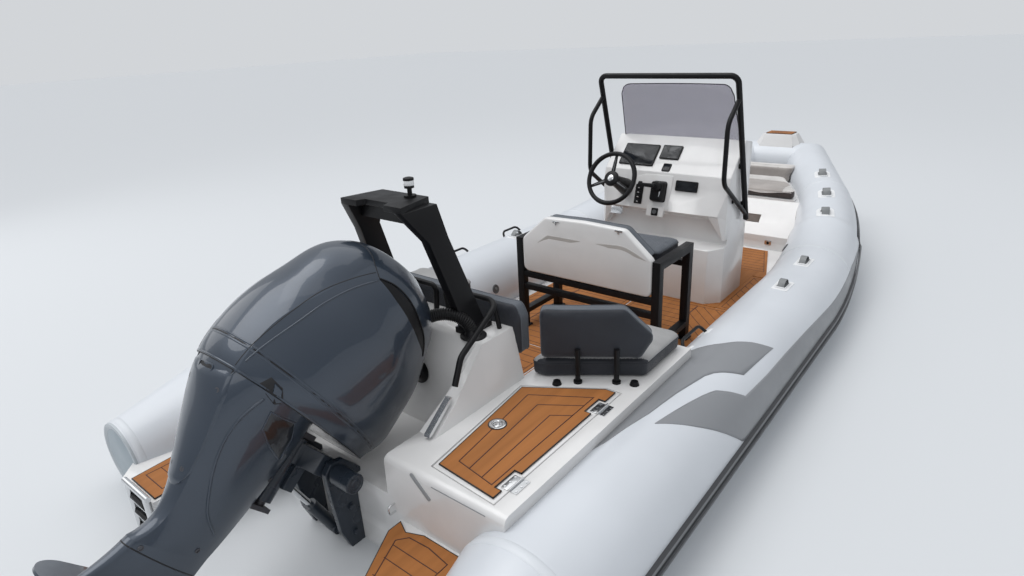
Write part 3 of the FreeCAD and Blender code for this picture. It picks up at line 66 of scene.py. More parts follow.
def placeCamera(setup):
    yaw, pitch, roll = setup["yaw"], setup["pitch"], setup["roll"]
    level = Vector((-math.sin(yaw), math.cos(yaw), 0))
    side = Vector((math.cos(yaw), math.sin(yaw), 0))
    up = Vector((0, 0, 1))
    look = level * math.cos(pitch) - up * math.sin(pitch)
    lift = level * math.sin(pitch) + up * math.cos(pitch)
    right = side * math.cos(roll) + lift * math.sin(roll)
    top = lift * math.cos(roll) - side * math.sin(roll)
    lens = bpy.data.cameras.new("mainCamera")
    lens.sensor_width = setup["sensor"]
    lens.lens = setup["focal"] * setup["sensor"] / setup["pictureWidth"]
    lens.clip_end = 200
    camera = newObject("mainCamera", lens)
    columns = Matrix((right, top, -look)).transposed()
    camera.matrix_world = Matrix.Translation(setup["place"]) @ columns.to_4x4()
    bpy.context.scene.camera = camera


lightSetup = {
    # name: place, aims at, size, watts
    "skyPanel": ((-1.5, 3.5, 7.5), (0, 2, 0), 7.0, 95),
    "sternPanel": ((3.5, -5.5, 4.5), (0, 0.5, 0.4), 4.0, 50),
    "portPanel": ((-6.5, -1.0, 3.5), (0, 1, 0.3), 4.0, 40),
}
daylight = {"from": (-0.35, -0.25, 1.0), "strength": 1.3, "spread": 50}
sky = {
    "low": (0.42, 0.44, 0.47, 1),  # near the horizon
    "high": (0.92, 0.94, 0.97, 1),
    "highFrom": 0.75,
    "strength": 0.75,
    "backdrop": (0.645, 0.665, 0.69, 1),  # what the lens sees past the floor
}


def placeLights(setup):
    for name, (place, aim, size, watts) in setup.items():
        lamp = bpy.data.lights.new(name, "AREA")
        lamp.size = size
        lamp.energy = watts
        holder = newObject(name, lamp)
        holder.location = place
        holder.rotation_euler = (Vector(aim) - Vector(place)).to_track_quat("-Z", "Y").to_euler()
    sun = bpy.data.lights.new("daylight", "SUN")
    sun.energy = daylight["strength"]
    sun.angle = math.radians(daylight["spread"])
    newObject("daylight", sun).rotation_euler = Vector(daylight["from"]).to_track_quat("Z", "Y").to_euler()


def paintSky(setup):
    world = bpy.data.worlds.new("studio")
    bpy.context.scene.world = world
    world.use_nodes = True
    tree = world.node_tree
    back = tree.nodes["Background"]
    coords, split, ramp, plain, path, mix = (tree.nodes.new("ShaderNode" + kind) for kind in (
        "TexCoord", "SeparateXYZ", "ValToRGB", "Background", "LightPath", "MixShader"))
    links = ((coords.outputs["Generated"], split.inputs[0]), (split.outputs["Z"], ramp.inputs[0]),
             (ramp.outputs[0], back.inputs[0]), (path.outputs["Is Camera Ray"], mix.inputs[0]),
             (back.outputs[0], mix.inputs[1]), (plain.outputs[0], mix.inputs[2]),
             (mix.outputs[0], tree.nodes["World Output"].inputs[0]))
    for source, target in links:
        tree.links.new(source, target)
    low, high = ramp.color_ramp.elements
    low.color, high.color, high.position = setup["low"], setup["high"], setup["highFrom"]
    back.inputs["Strength"].default_value = setup["strength"]
    plain.inputs["Color"].default_value = setup["backdrop"]


def newMaterial(name, colour, rough=0.5, metal=0.0, **sockets):
    mat = bpy.data.materials.new(name)
    mat.use_nodes = True
    shader = mat.node_tree.nodes["Principled BSDF"]
    sockets = {"Base_Color": (*colour, 1), "Roughness": rough, "Metallic": metal, **sockets}
    for socket, value in sockets.items():
        shader.inputs[socket.replace("_", " ")].default_value = value
    return mat


floorSetup = {"half": 60, "colour": (0.62, 0.64, 0.66), "rough": 0.7}


def placeFloor(setup):
    half = setup["half"]
    mesh = bpy.data.meshes.new("studioFloor")
    mesh.from_pydata([(-half, -half, 0), (half, -half, 0), (half, half, 0), (-half, half, 0)], [], [(0, 1, 2, 3)])
    mesh.materials.append(newMaterial("floorPaint", setup["colour"], setup["rough"]))
    newObject("studioFloor", mesh)


placeCamera(cameraSetup)
placeLights(lightSetup)
paintSky(sky)
placeFloor(floorSetup)
bpy.context.scene.view_settings.view_transform = "Standard"
print("camera, lights and floor placed")


def texture(mat, kind, scale, stretch=(1, 1, 1), detail=3.0, output="Fac"):
    # a noise or voronoi read in the object's own metres
    tree = mat.node_tree
    coords, mapping, node = (tree.nodes.new("ShaderNode" + word) for word in ("TexCoord", "Mapping", "Tex" + kind))
    mapping.inputs["Scale"].default_value = stretch
    node.inputs["Scale"].default_value = scale
    node.inputs["Detail"].default_value = detail
    tree.links.new(coords.outputs["Object"], mapping.inputs[0])
    tree.links.new(mapping.outputs[0], node.inputs["Vector"])
    return node.outputs[output]


def spread(mat, source, low, high, target, between=(0.3, 0.7)):
    # sends a texture to a socket, stretched between two numbers or two colours
    tree = mat.node_tree
    ramp = tree.nodes.new("ShaderNodeValToRGB")
    for element, value, place in zip(ramp.color_ramp.elements, (low, high), between):
        element.position = place
        element.color = (*value, 1) if isinstance(value, tuple) else (value, value, value, 1)
    tree.links.new(source, ramp.inputs[0])
    tree.links.new(ramp.outputs[0], tree.nodes["Principled BSDF"].inputs[target])


def addBump(mat, source, strength, depth):
    # bump from a texture, added to any bump that is there already
    tree = mat.node_tree
    socket = tree.nodes["Principled BSDF"].inputs["Normal"]
    bump = tree.nodes.new("ShaderNodeBump")
    bump.inputs["Strength"].default_value = strength
    bump.inputs["Distance"].default_value = depth
    tree.links.new(source, bump.inputs["Height"])
    if socket.is_linked:
        tree.links.new(socket.links[0].from_socket, bump.inputs["Normal"])
    tree.links.new(bump.outputs[0], socket)


def shade(colour, factor):
    return tuple(min(c * factor, 1) for c in colour)


def makeFabric(name, colour, rough):
    # coated tube fabric: faint cloth weave, cloudy colour, worn sheen
    mat = newMaterial(name, colour, rough, Coat_Weight=0.25, Coat_Roughness=0.25)
    spread(mat, texture(mat, "Noise", 2.2), shade(colour, 0.93), colour, "Base Color")
    spread(mat, texture(mat, "Noise", 9, detail=8), rough - 0.06, rough + 0.1, "Roughness")
    addBump(mat, texture(mat, "Noise", 420), 0.12, 0.0006)
    addBump(mat, texture(mat, "Noise", 5.5, stretch=(1, 0.35, 1)), 0.25, 0.004)
    return mat


def makeGelcoat(name, colour, rough):
    # moulded glass fibre: glossy, slightly wavy, a little grime
    mat = newMaterial(name, colour, rough, Coat_Weight=0.5, Coat_Roughness=0.08)
    spread(mat, texture(mat, "Noise", 3.5, detail=7), shade(colour, 0.92), colour, "Base Color", (0.35, 0.6))
    addBump(mat, texture(mat, "Noise", 7), 0.06, 0.004)
    return mat


def makeVinyl(name, colour, rough=0.5):
    # marine vinyl: pebbled grain, soft colour change, low sheen
    mat = newMaterial(name, colour, rough, Sheen_Weight=0.08, Sheen_Roughness=0.5, Specular_IOR_Level=0.35)
    spread(mat, texture(mat, "Noise", 6), shade(colour, 0.86), shade(colour, 1.08), "Base Color")
    addBump(mat, texture(mat, "Voronoi", 520, output="Distance"), 0.35, 0.0012)
    addBump(mat, texture(mat, "Noise", 14), 0.25, 0.003)
    spread(mat, texture(mat, "Noise", 11, detail=6), rough - 0.1, rough + 0.1, "Roughness")
    return mat


def makeTeak(name, colour):
    # brushed teak-look foam: fine streaks along the planks
    mat = newMaterial(name, colour, 0.72, Specular_IOR_Level=0.3)
    streak = texture(mat, "Noise", 30, stretch=(1, 0.06, 1), detail=6)
    spread(mat, streak, shade(colour, 0.88), shade(colour, 1.10), "Base Color")
    addBump(mat, streak, 0.35, 0.001)
    return mat


def makePlastic(name, colour, rough, shine=0.5):
    mat = newMaterial(name, colour, rough, Specular_IOR_Level=shine)
    addBump(mat, texture(mat, "Noise", 260), 0.15, 0.0008)
    spread(mat, texture(mat, "Noise", 12, detail=7), max(rough - 0.08, 0.05), rough + 0.1, "Roughness")
    return mat


def makeMetal(name, colour, rough):
    mat = newMaterial(name, colour, rough, 1.0)
    spread(mat, texture(mat, "Noise", 60, stretch=(1, 1, 12), detail=5), rough * 0.7, rough * 1.5, "Roughness")
    return mat


def makeCowlPaint(name, colour):
    # metallic car paint: fine flake under a clear coat
    mat = newMaterial(name, colour, 0.34, 0.40, Coat_Weight=0.8, Coat_Roughness=0.04)
    flake = texture(mat, "Voronoi", 900, output="Distance")
    spread(mat, flake, shade(colour, 1.25), shade(colour, 0.85), "Base Color", (0.2, 0.8))
    spread(mat, texture(mat, "Noise", 6, detail=7), 0.28, 0.42, "Roughness")
    return mat


def makeGlass(name, colour, alpha):
    mat = newMaterial(name, colour, 0.06, Alpha=alpha, IOR=1.49)
    spread(mat, texture(mat, "Noise", 8, detail=6), 0.03, 0.16, "Roughness", (0.4, 0.7))
    return mat


finishes = {
    # maker, slot in the record, colour and what else the maker takes; the first of a slot dresses its CAD nodes
    "tubeFabric": (makeFabric, "tube_fabric", (0.64, 0.67, 0.71), 0.34),
    "seamTape": (makeFabric, "tube_fabric", (0.655, 0.685, 0.72), 0.38),
    "padWhite": (makePlastic, "tube_fabric", (0.78, 0.79, 0.80), 0.4),
    "bandFabric": (makeFabric, "tube_fabric", (0.235, 0.245, 0.26), 0.42),
    # dark grey of the webbing and the valve caps, also painted shade on the floor of the strap pads' wells
    "strapGrey": (makeFabric, "tube_fabric", (0.20, 0.21, 0.215), 0.5),
    "tubeCap": (makeFabric, "tube_cap", (0.26, 0.32, 0.36), 0.35),
    "capRim": (makeFabric, "tube_cap", (0.44, 0.48, 0.51), 0.35),
    "strakeRubber": (makePlastic, "strake_rubber", (0.045, 0.047, 0.052), 0.55),
    "strakeRib": (makePlastic, "strake_rubber", (0.15, 0.155, 0.165), 0.5),
    "gelcoat": (makeGelcoat, "moulding", (0.74, 0.735, 0.73), 0.24),
    # darker gelcoat, painted shade along the steps pressed into the helm shell
    "shadeGelcoat": (makeGelcoat, "moulding", (0.52, 0.51, 0.49), 0.34),
    # mid grey, painted shade for the transom's vent slot and groove
    "slotGrey": (makePlastic, "moulding", (0.28, 0.29, 0.30), 0.5),
    "sternTeak": (makeTeak, "deck_foam", (0.345, 0.134, 0.038)),
    "caulk": (makePlastic, "deck_foam", (0.070, 0.022, 0.014), 0.7),
    "teakEdge": (makePlastic, "deck_foam", (0.022, 0.018, 0.017), 0.6),
    "vinylDark": (makeVinyl, "cushion_dark", (0.022, 0.025, 0.033)),
    "vinylEdge": (makeVinyl, "cushion_dark", (0.095, 0.107, 0.125)),
    "vinylBrown": (makeVinyl, "cushion_dark", (0.060, 0.050, 0.048)),
    "vinylLight": (makeVinyl, "cushion_light", (0.33, 0.33, 0.33)),
    "vinylTaupe": (makeVinyl, "cushion_light", (0.36, 0.33, 0.31)),
    "vinylPale": (makeVinyl, "cushion_light", (0.60, 0.58, 0.56)),
    "blackCoat": (makePlastic, "black_frame", (0.006, 0.006, 0.007), 0.40, 0.22),
    "brightSteel": (makeMetal, "steel", (0.72, 0.73, 0.74), 0.16),
    "smokedGlass": (makeGlass, "glass", (0.13, 0.09, 0.19), 0.40),
    "whiteLens": (makeGlass, "glass", (0.80, 0.81, 0.82), 1.0),
    "blackPlastic": (makePlastic, "black_plastic", (0.008, 0.008, 0.009), 0.42, 0.25),
    "greyPlastic": (makePlastic, "black_plastic", (0.10, 0.105, 0.11), 0.4),
    # near black for the real parting seams, and painted shade in the hood creases, the outlet hollow and the latch
    # recesses
    "seamBlack": (makePlastic, "black_plastic", (0.008, 0.008, 0.010), 0.5),
    "screenGlass": (makeGlass, "black_plastic", (0.022, 0.026, 0.033), 1.0),
    "cowlPaint": (makeCowlPaint, "cowl_paint", (0.040, 0.057, 0.084)),
    # near-black cowl paint, painted shade for the hollow in the leg's side
    "legShade": (makeCowlPaint, "cowl_paint", (0.009, 0.012, 0.018)),
    "engineMetal": (makeMetal, "engine_metal", (0.12, 0.12, 0.13), 0.45),
    "bracketPaint": (makePlastic, "bracket_paint", (0.024, 0.032, 0.044), 0.30),
}

finish, slotFinish = {}, {}
for name, (maker, slot, *look) in finishes.items():
    finish[name] = maker(name, *look)
    slotFinish.setdefault(slot, finish[name])
slotFinish["arch_paint"] = finish["blackCoat"]
for entry in frame["record"]["subparts"]:
    mesh = frame["nodes"][entry["node"]].data
    if not mesh.materials:
        mesh.materials.append(None)
    for index in range(len(mesh.materials)):
        mesh.materials[index] = slotFinish[entry["material_slot"]]
print("frame dressed")


def smoothFaces(mesh, crease=None):
    for polygon in mesh.polygons:
        polygon.use_smooth = True
    if crease is not None:
        mesh.set_sharp_from_angle(angle=math.radians(crease))


def enter(name, mesh, body):
    # makes the mesh a piece that rides on this body
    piece = newObject(name, mesh)
    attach(piece, body)
    return piece


def addPiece(name, shape, finishNames, body="boat", crease=None):
    # shape is (vertices, faces) or (vertices, faces, finish number of each face)
    mesh = bpy.data.meshes.new(name)
    mesh.from_pydata([tuple(v) for v in shape[0]], [], [tuple(f) for f in shape[1]])
    for word in finishNames if isinstance(finishNames, list) else [finishNames]:
        mesh.materials.append(finish[word])
    if len(shape) > 2:
        for polygon, number in zip(mesh.polygons, shape[2]):
            polygon.material_index = number
    work = bmesh.new()
    work.from_mesh(mesh)
    bmesh.ops.recalc_face_normals(work, faces=work.faces)
    work.to_mesh(mesh)
    work.free()
    smoothFaces(mesh, crease)
    return enter(name, mesh, body)


def mirrored(piece, name, body="boat"):
    # the same piece on the other side of the boat
    mesh = piece.data.copy()
    mesh.name = name
    mesh.transform(Matrix.Scale(-1, 4, (1, 0, 0)))
    mesh.flip_normals()
    return enter(name, mesh, body)


def addPair(name, shape, finishNames, body="boat", crease=None):
    # a starboard piece and its port twin, on the starboard and the port lid if they ride on lids
    first = addPiece(name + "Starboard", shape, finishNames, body, crease)
    return first, mirrored(first, name + "Port", body.replace("starboard", "port"))


def applyModifiers(piece):
    view = bpy.context.evaluated_depsgraph_get()
    fresh = bpy.data.meshes.new_from_object(piece.evaluated_get(view))
    old = piece.data
    piece.modifiers.clear()
    piece.data = fresh
    bpy.data.meshes.remove(old)
    fresh.name = piece.name


def joined(*shapes):
    verts, faces, numbers = [], [], []
    for shape in shapes:
        start = len(verts)
        verts += list(shape[0])
        faces += [[start + index for index in face] for face in shape[1]]
        numbers += list(shape[2]) if len(shape) > 2 else [0] * len(shape[1])
    return verts, faces, numbers


def tinted(shape, number):
    return shape[0], shape[1], [number] * len(shape[1])


def placed(shape, place):
    place = place if isinstance(place, Matrix) else Matrix.Translation(place)
    return ([place @ Vector(v) for v in shape[0]],) + tuple(shape[1:])


def twinOf(shape, middle=0.0):
    # mirror image about the plane at x = middle
    return ([Vector((2 * middle - v.x, v.y, v.z)) for v in shape[0]],) + tuple(shape[1:])


def bothSides(shape, middle=0.0):
    return joined(shape, twinOf(shape, middle))


def around(count):
    # cosine and sine at even turns
    for step in range(count):
        turn = 2 * math.pi * step / count
        yield math.cos(turn), math.sin(turn)


def loft(rings, caps=True, closed=True):
    # skin over rings of equal length
    count = len(rings[0])
    verts = [point for ring in rings for point in ring]
    faces = []
    for row in range(len(rings) - 1):
        low, high = row * count, (row + 1) * count
        for column in range(count if closed else count - 1):
            after = (column + 1) % count
            faces.append((low + column, low + after, high + after, high + column))
    if caps and closed:
        faces.append(tuple(reversed(range(count))))
        faces.append(tuple(range(len(verts) - count, len(verts))))
    return verts, faces


def openSheet(rows):
    return loft(rows, caps=False, closed=False)


def roundedOutline(corners, radius, steps=5):
    # polygon in the plane with its corners rounded; radius may be one number or one for each corner
    count = len(corners)
    radii = radius if isinstance(radius, (list, tuple)) else [radius] * count
    points = []
    for index in range(count):
        here = Vector(corners[index][:2])
        before = Vector(corners[index - 1][:2]) - here
        after = Vector(corners[(index + 1) % count][:2]) - here
        half = before.angle(after) / 2
        reach = min(radii[index] / max(math.tan(half), 0.05), before.length * 0.48, after.length * 0.48)
        start = here + before.normalized() * reach
        end = here + after.normalized() * reach
        for step in range(steps + 1):
            t = step / steps
            points.append(start * (1 - t) ** 2 + here * 2 * t * (1 - t) + end * t * t)
    return points


def turnsLeft(points):
    return sum(points[i - 1].x * p.y - p.x * points[i - 1].y for i, p in enumerate(points)) > 0


def insetOutline(points, inset):
    # moves a rounded outline inwards by the same amount everywhere
    count = len(points)
    turn = 1 if turnsLeft(points) else -1
    moved = []
    for index in range(count):
        run = points[(index + 1) % count] - points[index - 1]
        if run.length < 1e-9:
            run = Vector((1, 0))
        run.normalize()
        moved.append(points[index] + Vector((-run.y, run.x)) * inset * turn)
    return moved


def layered(rim, levels):
    # closed body over an outline, from (inset, height) pairs
    rings = [[Vector((p.x, p.y, height)) for p in insetOutline(rim, inset)] for inset, height in levels]
    if not turnsLeft(rim):
        rings = [list(reversed(ring)) for ring in rings]
    return loft(rings)


def ringed(*levels):
    # open band over (outline, height) pairs
    return loft([[Vector((p.x, p.y, height)) for p in ring] for ring, height in levels], caps=False)


def slab(corners, thick, edge=0.002, radius=0.006, steps=5):
    # plate on the plane z = 0 with a rounded outline and a softened upper edge
    return layered(roundedOutline(corners, radius, steps),
                   [(0, 0), (0, thick - edge), (edge * 0.3, thick - edge * 0.3), (edge, thick)])


def boxed(wide, tall):
    return [(-wide / 2, -tall / 2), (wide / 2, -tall / 2), (wide / 2, tall / 2), (-wide / 2, tall / 2)]


def plate(wide, tall, thick, edge, radius, steps=5):
    return slab(boxed(wide, tall), thick, edge, radius, steps)


def turned(profile, count=40):
    # lathe about z from (radius, height) pairs
    return loft([[Vector((radius * c, radius * s, height)) for c, s in around(count)] for radius, height in profile])


def facing(place, normal, up=(0, 0, 1)):
    # matrix whose z looks along the normal and whose y is as near to up as it can be
    z = Vector(normal).normalized()
    x = Vector(up).cross(z)
    if x.length < 1e-6:
        x = Vector((1, 0, 0))
    x.normalize()
    return Matrix.Translation(place) @ Matrix((x, z.cross(x), z)).transposed().to_4x4()


def smoothLine(points, step=0.012):
    # curve through the points, divided into steps of about this length
    points = [Vector(p) for p in points]
    count = len(points)
    line = []
    for index in range(count - 1):
        b, c = points[index], points[index + 1]
        a, d = points[max(index - 1, 0)], points[min(index + 2, count - 1)]
        runs = max(1, int((c - b).length / step))
        for i in range(runs):
            t = i / runs
            line.append(0.5 * ((2 * b) + (c - a) * t + (2 * a - 5 * b + 4 * c - d) * t * t
                               + (3 * b - a - 3 * c + d) * t ** 3))
    line.append(points[-1])
    return line


def straightLine(points, step, loop=False):
    points = [Vector(p) for p in points]
    line = []
    for start, end in zip(points, points[1:] + ([points[0]] if loop else [])):
        runs = max(1, int((end - start).length / step))
        line += [start.lerp(end, i / runs) for i in range(runs)]
    if not loop:
        line.append(points[-1])
    return line


def pipe(path, radius, count=12, ends=True):
    # round bar along a path; radius may be a number or a list
    rings = []
    radii = radius if isinstance(radius, list) else [radius] * len(path)
    normal = None
    for index, point in enumerate(path):
        run = path[min(index + 1, len(path) - 1)] - path[max(index - 1, 0)]
        run.normalize()
        if normal is None:
            normal = run.orthogonal().normalized()
        normal = (normal - run * normal.dot(run)).normalized()
        other = run.cross(normal)
        rings.append([point + (normal * c + other * s) * radii[index] for c, s in around(count)])
    if ends:
        # rounded ends
        for first, second in ((0, 1), (-1, -2)):
            centre = sum(rings[first], Vector()) / count
            away = centre - sum(rings[second], Vector()) / count
            away.normalize()
            size = (rings[first][0] - centre).length
            extra = [[centre + (p - centre) * 0.7 + away * size * 0.4 for p in rings[first]]]
            rings = extra + rings if first == 0 else rings + extra
    return loft(rings)


def loopPipe(path, radius, count=12):
    # closed ring of round bar
    total = len(path)
    rings = []
    middle = sum(path, Vector()) / total
    for index, point in enumerate(path):
        run = (path[(index + 1) % total] - path[index - 1]).normalized()
        out = point - middle
        out = (out - run * out.dot(run)).normalized()
        other = run.cross(out)
        rings.append([point + (out * c + other * s) * radius for c, s in around(count)])
    verts, faces = loft(rings, caps=False)
    last = (total - 1) * count
    faces += [(last + step, last + (step + 1) % count, (step + 1) % count, step) for step in range(count)]
    return verts, faces


def surfaceOf(*names):
    # search tree over CAD nodes or pieces already built
    verts, faces = [], []
    for name in names:
        mesh = frame["nodes"][name].data if isinstance(name, str) else name.data
        start = len(verts)
        verts += [v.co.copy() for v in mesh.vertices]
        faces += [[start + index for index in p.vertices] for p in mesh.polygons]
    return BVHTree.FromPolygons(verts, faces)


def ribbon(tree, path, width, lift, sink=0.0015, loop=False):
    # low strip laid on a surface along a path
    rows = []
    total = len(path)
    half = width / 2
    for index, point in enumerate(path):
        spot, normal = tree.find_nearest(point)[:2]
        if loop:
            run = path[(index + 1) % total] - path[index - 1]
        else:
            run = path[min(index + 1, total - 1)] - path[max(index - 1, 0)]
        side = normal.cross(run).normalized()
        row = []
        for offset, height in ((-1, -sink), (-0.75, lift), (0, lift * 1.15), (0.75, lift), (1, -sink)):
            base, up = tree.find_nearest(spot + side * half * offset)[:2]
            row.append(base + (up * 0.5 + normal * 0.5).normalized() * height)
        rows.append(row)
    if loop:
        rows.append(rows[0])
    return openSheet(rows)


def flatStrip(path, width, height, base, loop=False):
    # strip lying level on a deck, mitred at its corners
    total = len(path)
    points = [Vector((p[0], p[1])) for p in path]
    rows = []
    for index, point in enumerate(points):
        before = point - points[index - 1] if (loop or index > 0) else points[1] - points[0]
        after = points[(index + 1) % total] - point if (loop or index < total - 1) else before
        before, after = before.normalized(), after.normalized()
        normal = Vector((-(before + after).y, (before + after).x))
        normal.normalize()
        reach = width / 2 / max(0.35, abs(normal.dot(Vector((-before.y, before.x)))))
        a, b = point + normal * reach, point - normal * reach
        low, high = base - 0.001, base + height
        rows.append([Vector((p.x, p.y, level)) for p, level in ((a, low), (a, high), (b, high), (b, low))])
    if loop:
        rows.append(rows[0])
    return openSheet(rows)


def softened(node, width, zones, body):
    # the CAD node with its sharp edges rounded over, standing for it
    name = node.replace("_", "-") + "-shell"
    sharpFrom, smoothTo, roomy, segments = 28, 35, 1.6, 3
    mesh = frame["nodes"][node].data.copy()
    mesh.name = name
    work = bmesh.new()
    work.from_mesh(mesh)
    bmesh.ops.remove_doubles(work, verts=work.verts, dist=2e-5)
    bmesh.ops.dissolve_limit(work, angle_limit=math.radians(0.6), verts=work.verts, edges=work.edges)
    for low, high, radius in zones + [((-9, -9, -9), (9, 9, 9), width)]:
        chosen = []
        for edge in work.edges:
            inside = all(low[i] <= v.co[i] <= high[i] for v in edge.verts for i in range(3))
            if inside and edge.is_manifold and edge.calc_face_angle(0) >= math.radians(sharpFrom):
                # only where the neighbouring edges are long enough for the radius
                if min(other.calc_length() for vert in edge.verts for other in vert.link_edges) > roomy * radius:
                    chosen.append(edge)
        bmesh.ops.bevel(work, geom=chosen, offset=radius, offset_type="OFFSET", segments=segments, profile=0.5,
                        affect="EDGES", clamp_overlap=True)
    work.to_mesh(mesh)
    work.free()
    smoothFaces(mesh, smoothTo)
    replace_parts(enter(name, mesh, body), node)


print("helpers ready")

tubeRoute = {
    "tail": (0.941, -0.04, 0.178),
    "shoulder": (0.941, 3.086, 0.178),
    "cheek": (0.755, 4.103, 0.392),
    "corner": (0.265, 5.222, 0.538),
    "bends": (0.55, 0.45),
    "wide": 0.253,
    "slim": 0.190,
    "coneEnd": 0.165,
    "cone": 0.385,
    "step": 0.032,
}


def tubeStations(plan):
    # centre, direction and radius along the starboard tube, from the tail to the bow corner
    tail, shoulder, cheek, corner = (Vector(plan[word]) for word in ("tail", "shoulder", "cheek", "corner"))
    wide, slim = plan["wide"], plan["slim"]
    taper = (wide - slim) / 5
    stations = []

    def run(start, end, first, last):
        count = max(2, int((end - start).length / plan["step"]))
        for index in range(count):
            share = index / count
            stations.append((start.lerp(end, share), (end - start).normalized(), first + (last - first) * share))

    def bend(before, here, after, reach, radii):
        back, ahead = (before - here).normalized(), (after - here).normalized()
        half = back.angle(ahead) / 2
        middle = here + (back + ahead).normalized() * (reach / math.cos(half))
        first, last = here + back * reach - middle, here + ahead * reach - middle
        sweep = math.pi - 2 * half
        count = max(8, int(sweep * first.length / plan["step"]))
        axis = first.cross(last).normalized()
        for index in range(count):
            share = index / count
            arm = Matrix.Rotation(sweep * share, 3, axis) @ first
            low, high = radii[:2] if share < 0.5 else radii[1:]
            stations.append((middle + arm, axis.cross(arm).normalized(), low + (high - low) * ((share * 2) % 1)))
        return here + ahead * reach

    run(tail - Vector((0, plan["cone"], 0)), tail, plan["coneEnd"], wide)
    run(tail, shoulder + (tail - shoulder).normalized() * plan["bends"][0], wide, wide)
    left = bend(tail, shoulder, cheek, plan["bends"][0], (wide, wide - taper, wide - 1.7 * taper))
    run(left, cheek + (shoulder - cheek).normalized() * plan["bends"][1], wide - 1.7 * taper, wide - 2.9 * taper)
    left = bend(shoulder, cheek, corner, plan["bends"][1], (wide - 2.9 * taper, wide - 3.8 * taper, slim))
    run(left, corner, slim, slim)
    return stations


stations = tubeStations(tubeRoute)
seamPlaces = [-0.04, 3.12, 4.30]  # where the lengths of fabric join, along the boat


def tubeFrame(direction):
    out = direction.cross(Vector((0, 0, 1))).normalized()
    return out, out.cross(direction)


def onTube(along, turn, lift=0.0):
    # point on the starboard tube: place along the boat, degrees up from level outboard
    best = 0
    for index in range(len(stations) - 1):
        if stations[index][0].y <= along:
            best = index
    here, after = stations[best], stations[min(best + 1, len(stations) - 1)]
    gap = after[0].y - here[0].y
    share = min(max((along - here[0].y) / gap, 0), 1) if gap > 1e-6 else 0
    out, up = tubeFrame(here[1].lerp(after[1], share).normalized())
    radius = here[2] + (after[2] - here[2]) * share
    angle = math.radians(turn)
    return here[0].lerp(after[0], share) + (out * math.cos(angle) + up * math.sin(angle)) * (radius + lift)


tubeSkin = {"sides": 96, "pinch": 0.0016, "pinchWidth": 0.02, "pucker": 0.0007, "puckerWidth": 0.06, "puckers": 23,
            "bowRings": 11, "bowFirst": 0.012, "bowStep": 0.0215}


def nearSeams(place, width):
    return sum(math.exp(-((place - seam) / width) ** 2) for seam in seamPlaces)


def buildTube(plan, route):
    sides = plan["sides"]
    corner = Vector(route["corner"])
    ahead, across = stations[-1][1], Vector((-1, 0, 0))
    plane = (ahead + across).normalized()
    rings = []
    for number, (centre, direction, radius) in enumerate(stations):
        out, up = tubeFrame(direction)
        pinch = nearSeams(centre.y, plan["pinchWidth"]) * plan["pinch"]
        near = nearSeams(centre.y, plan["puckerWidth"]) * plan["pucker"]
        ring = []
        for step, (c, s) in enumerate(around(sides)):
            # short puckers beside each seam
            pucker = near * math.sin(2 * math.pi * step / sides * plan["puckers"] + number * 0.9)
            ring.append(centre + (out * c + up * s) * (radius - pinch + pucker))
        # stations whose rings would cross the mitre are left out
        if max((p - corner).dot(plane) for p in ring) < -0.004:
            rings.append(ring)
    out, up = tubeFrame(ahead)
    arms = [(out * c + up * s) * route["slim"] for c, s in around(sides)]
    mitre = [corner + arm - ahead * (arm.dot(plane) / ahead.dot(plane)) for arm in arms]
    out, up = tubeFrame(across)
    arms = [(out * c + up * s) * route["slim"] for c, s in around(sides)]
    bow = [mitre]
    for index in range(1, plan["bowRings"] + 1):
        place = corner.x - plan["bowFirst"] - index * plan["bowStep"]
        ring = []
        for arm in arms:
            spot = Vector((place, corner.y, corner.z)) + arm
            past = (spot - corner).dot(plane)
            # inside the bend the ring starts at the mitre
            ring.append(spot + across * max(0, -past / across.dot(plane)) if past < 0.002 else spot)
        bow.append(ring)
    middle = [Vector((0, corner.y, corner.z)) + arm for arm in arms]
    return rings + [mitre], bow + [middle] + [[Vector((-p.x, p.y, p.z)) for p in ring] for ring in reversed(bow)]


sideRings, bowRings = buildTube(tubeSkin, tubeRoute)
starboardTube, portTube = addPair("tubeSkin", loft(sideRings, caps=False), "tubeFabric")
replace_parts(starboardTube, "tube_starboard")
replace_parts(portTube, "tube_port")
bowTube = addPiece("tubeSkinBow", loft(bowRings, caps=False), "tubeFabric", crease=50)
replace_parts(bowTube, "tube_bow")
tubeTree = surfaceOf(starboardTube)

seamTapes = {"wide": 0.034, "lift": 0.0009, "tail": (-0.402, 0.030, 0.0012)}


def ringTape(place, width, lift):
    # strip round the tube, square to its line
    section = ((-0.5, -0.001), (-0.42, lift), (0, lift + 0.0003), (0.42, lift), (0.5, -0.001))
    return openSheet([[onTube(place + offset * width, 360 * step / 96, rise) for step in range(97)]
                      for offset, rise in section])


tapes = [ringTape(place, seamTapes["wide"], seamTapes["lift"]) for place in seamPlaces]
addPair("seamTapes", joined(*tapes, ringTape(*seamTapes["tail"])), "seamTape")


def tubePatch(columns, lift, rows=14, step=0.018):
    # fabric glued on the tube between two lines given as (along, low angle, high angle)
    fine = []
    for first, second in zip(columns, columns[1:]):
        runs = max(1, int(abs(second[0] - first[0]) / step))
        fine += [tuple(a + (b - a) * index / runs for a, b in zip(first, second)) for index in range(runs)]
    grid = []
    for along, low, high in fine + [columns[-1]]:
        middle = [onTube(along, low + (high - low) * row / rows, lift) for row in range(rows + 1)]
        grid.append([onTube(along, low, -0.001)] + middle + [onTube(along, high, -0.001)])
    return openSheet(grid)


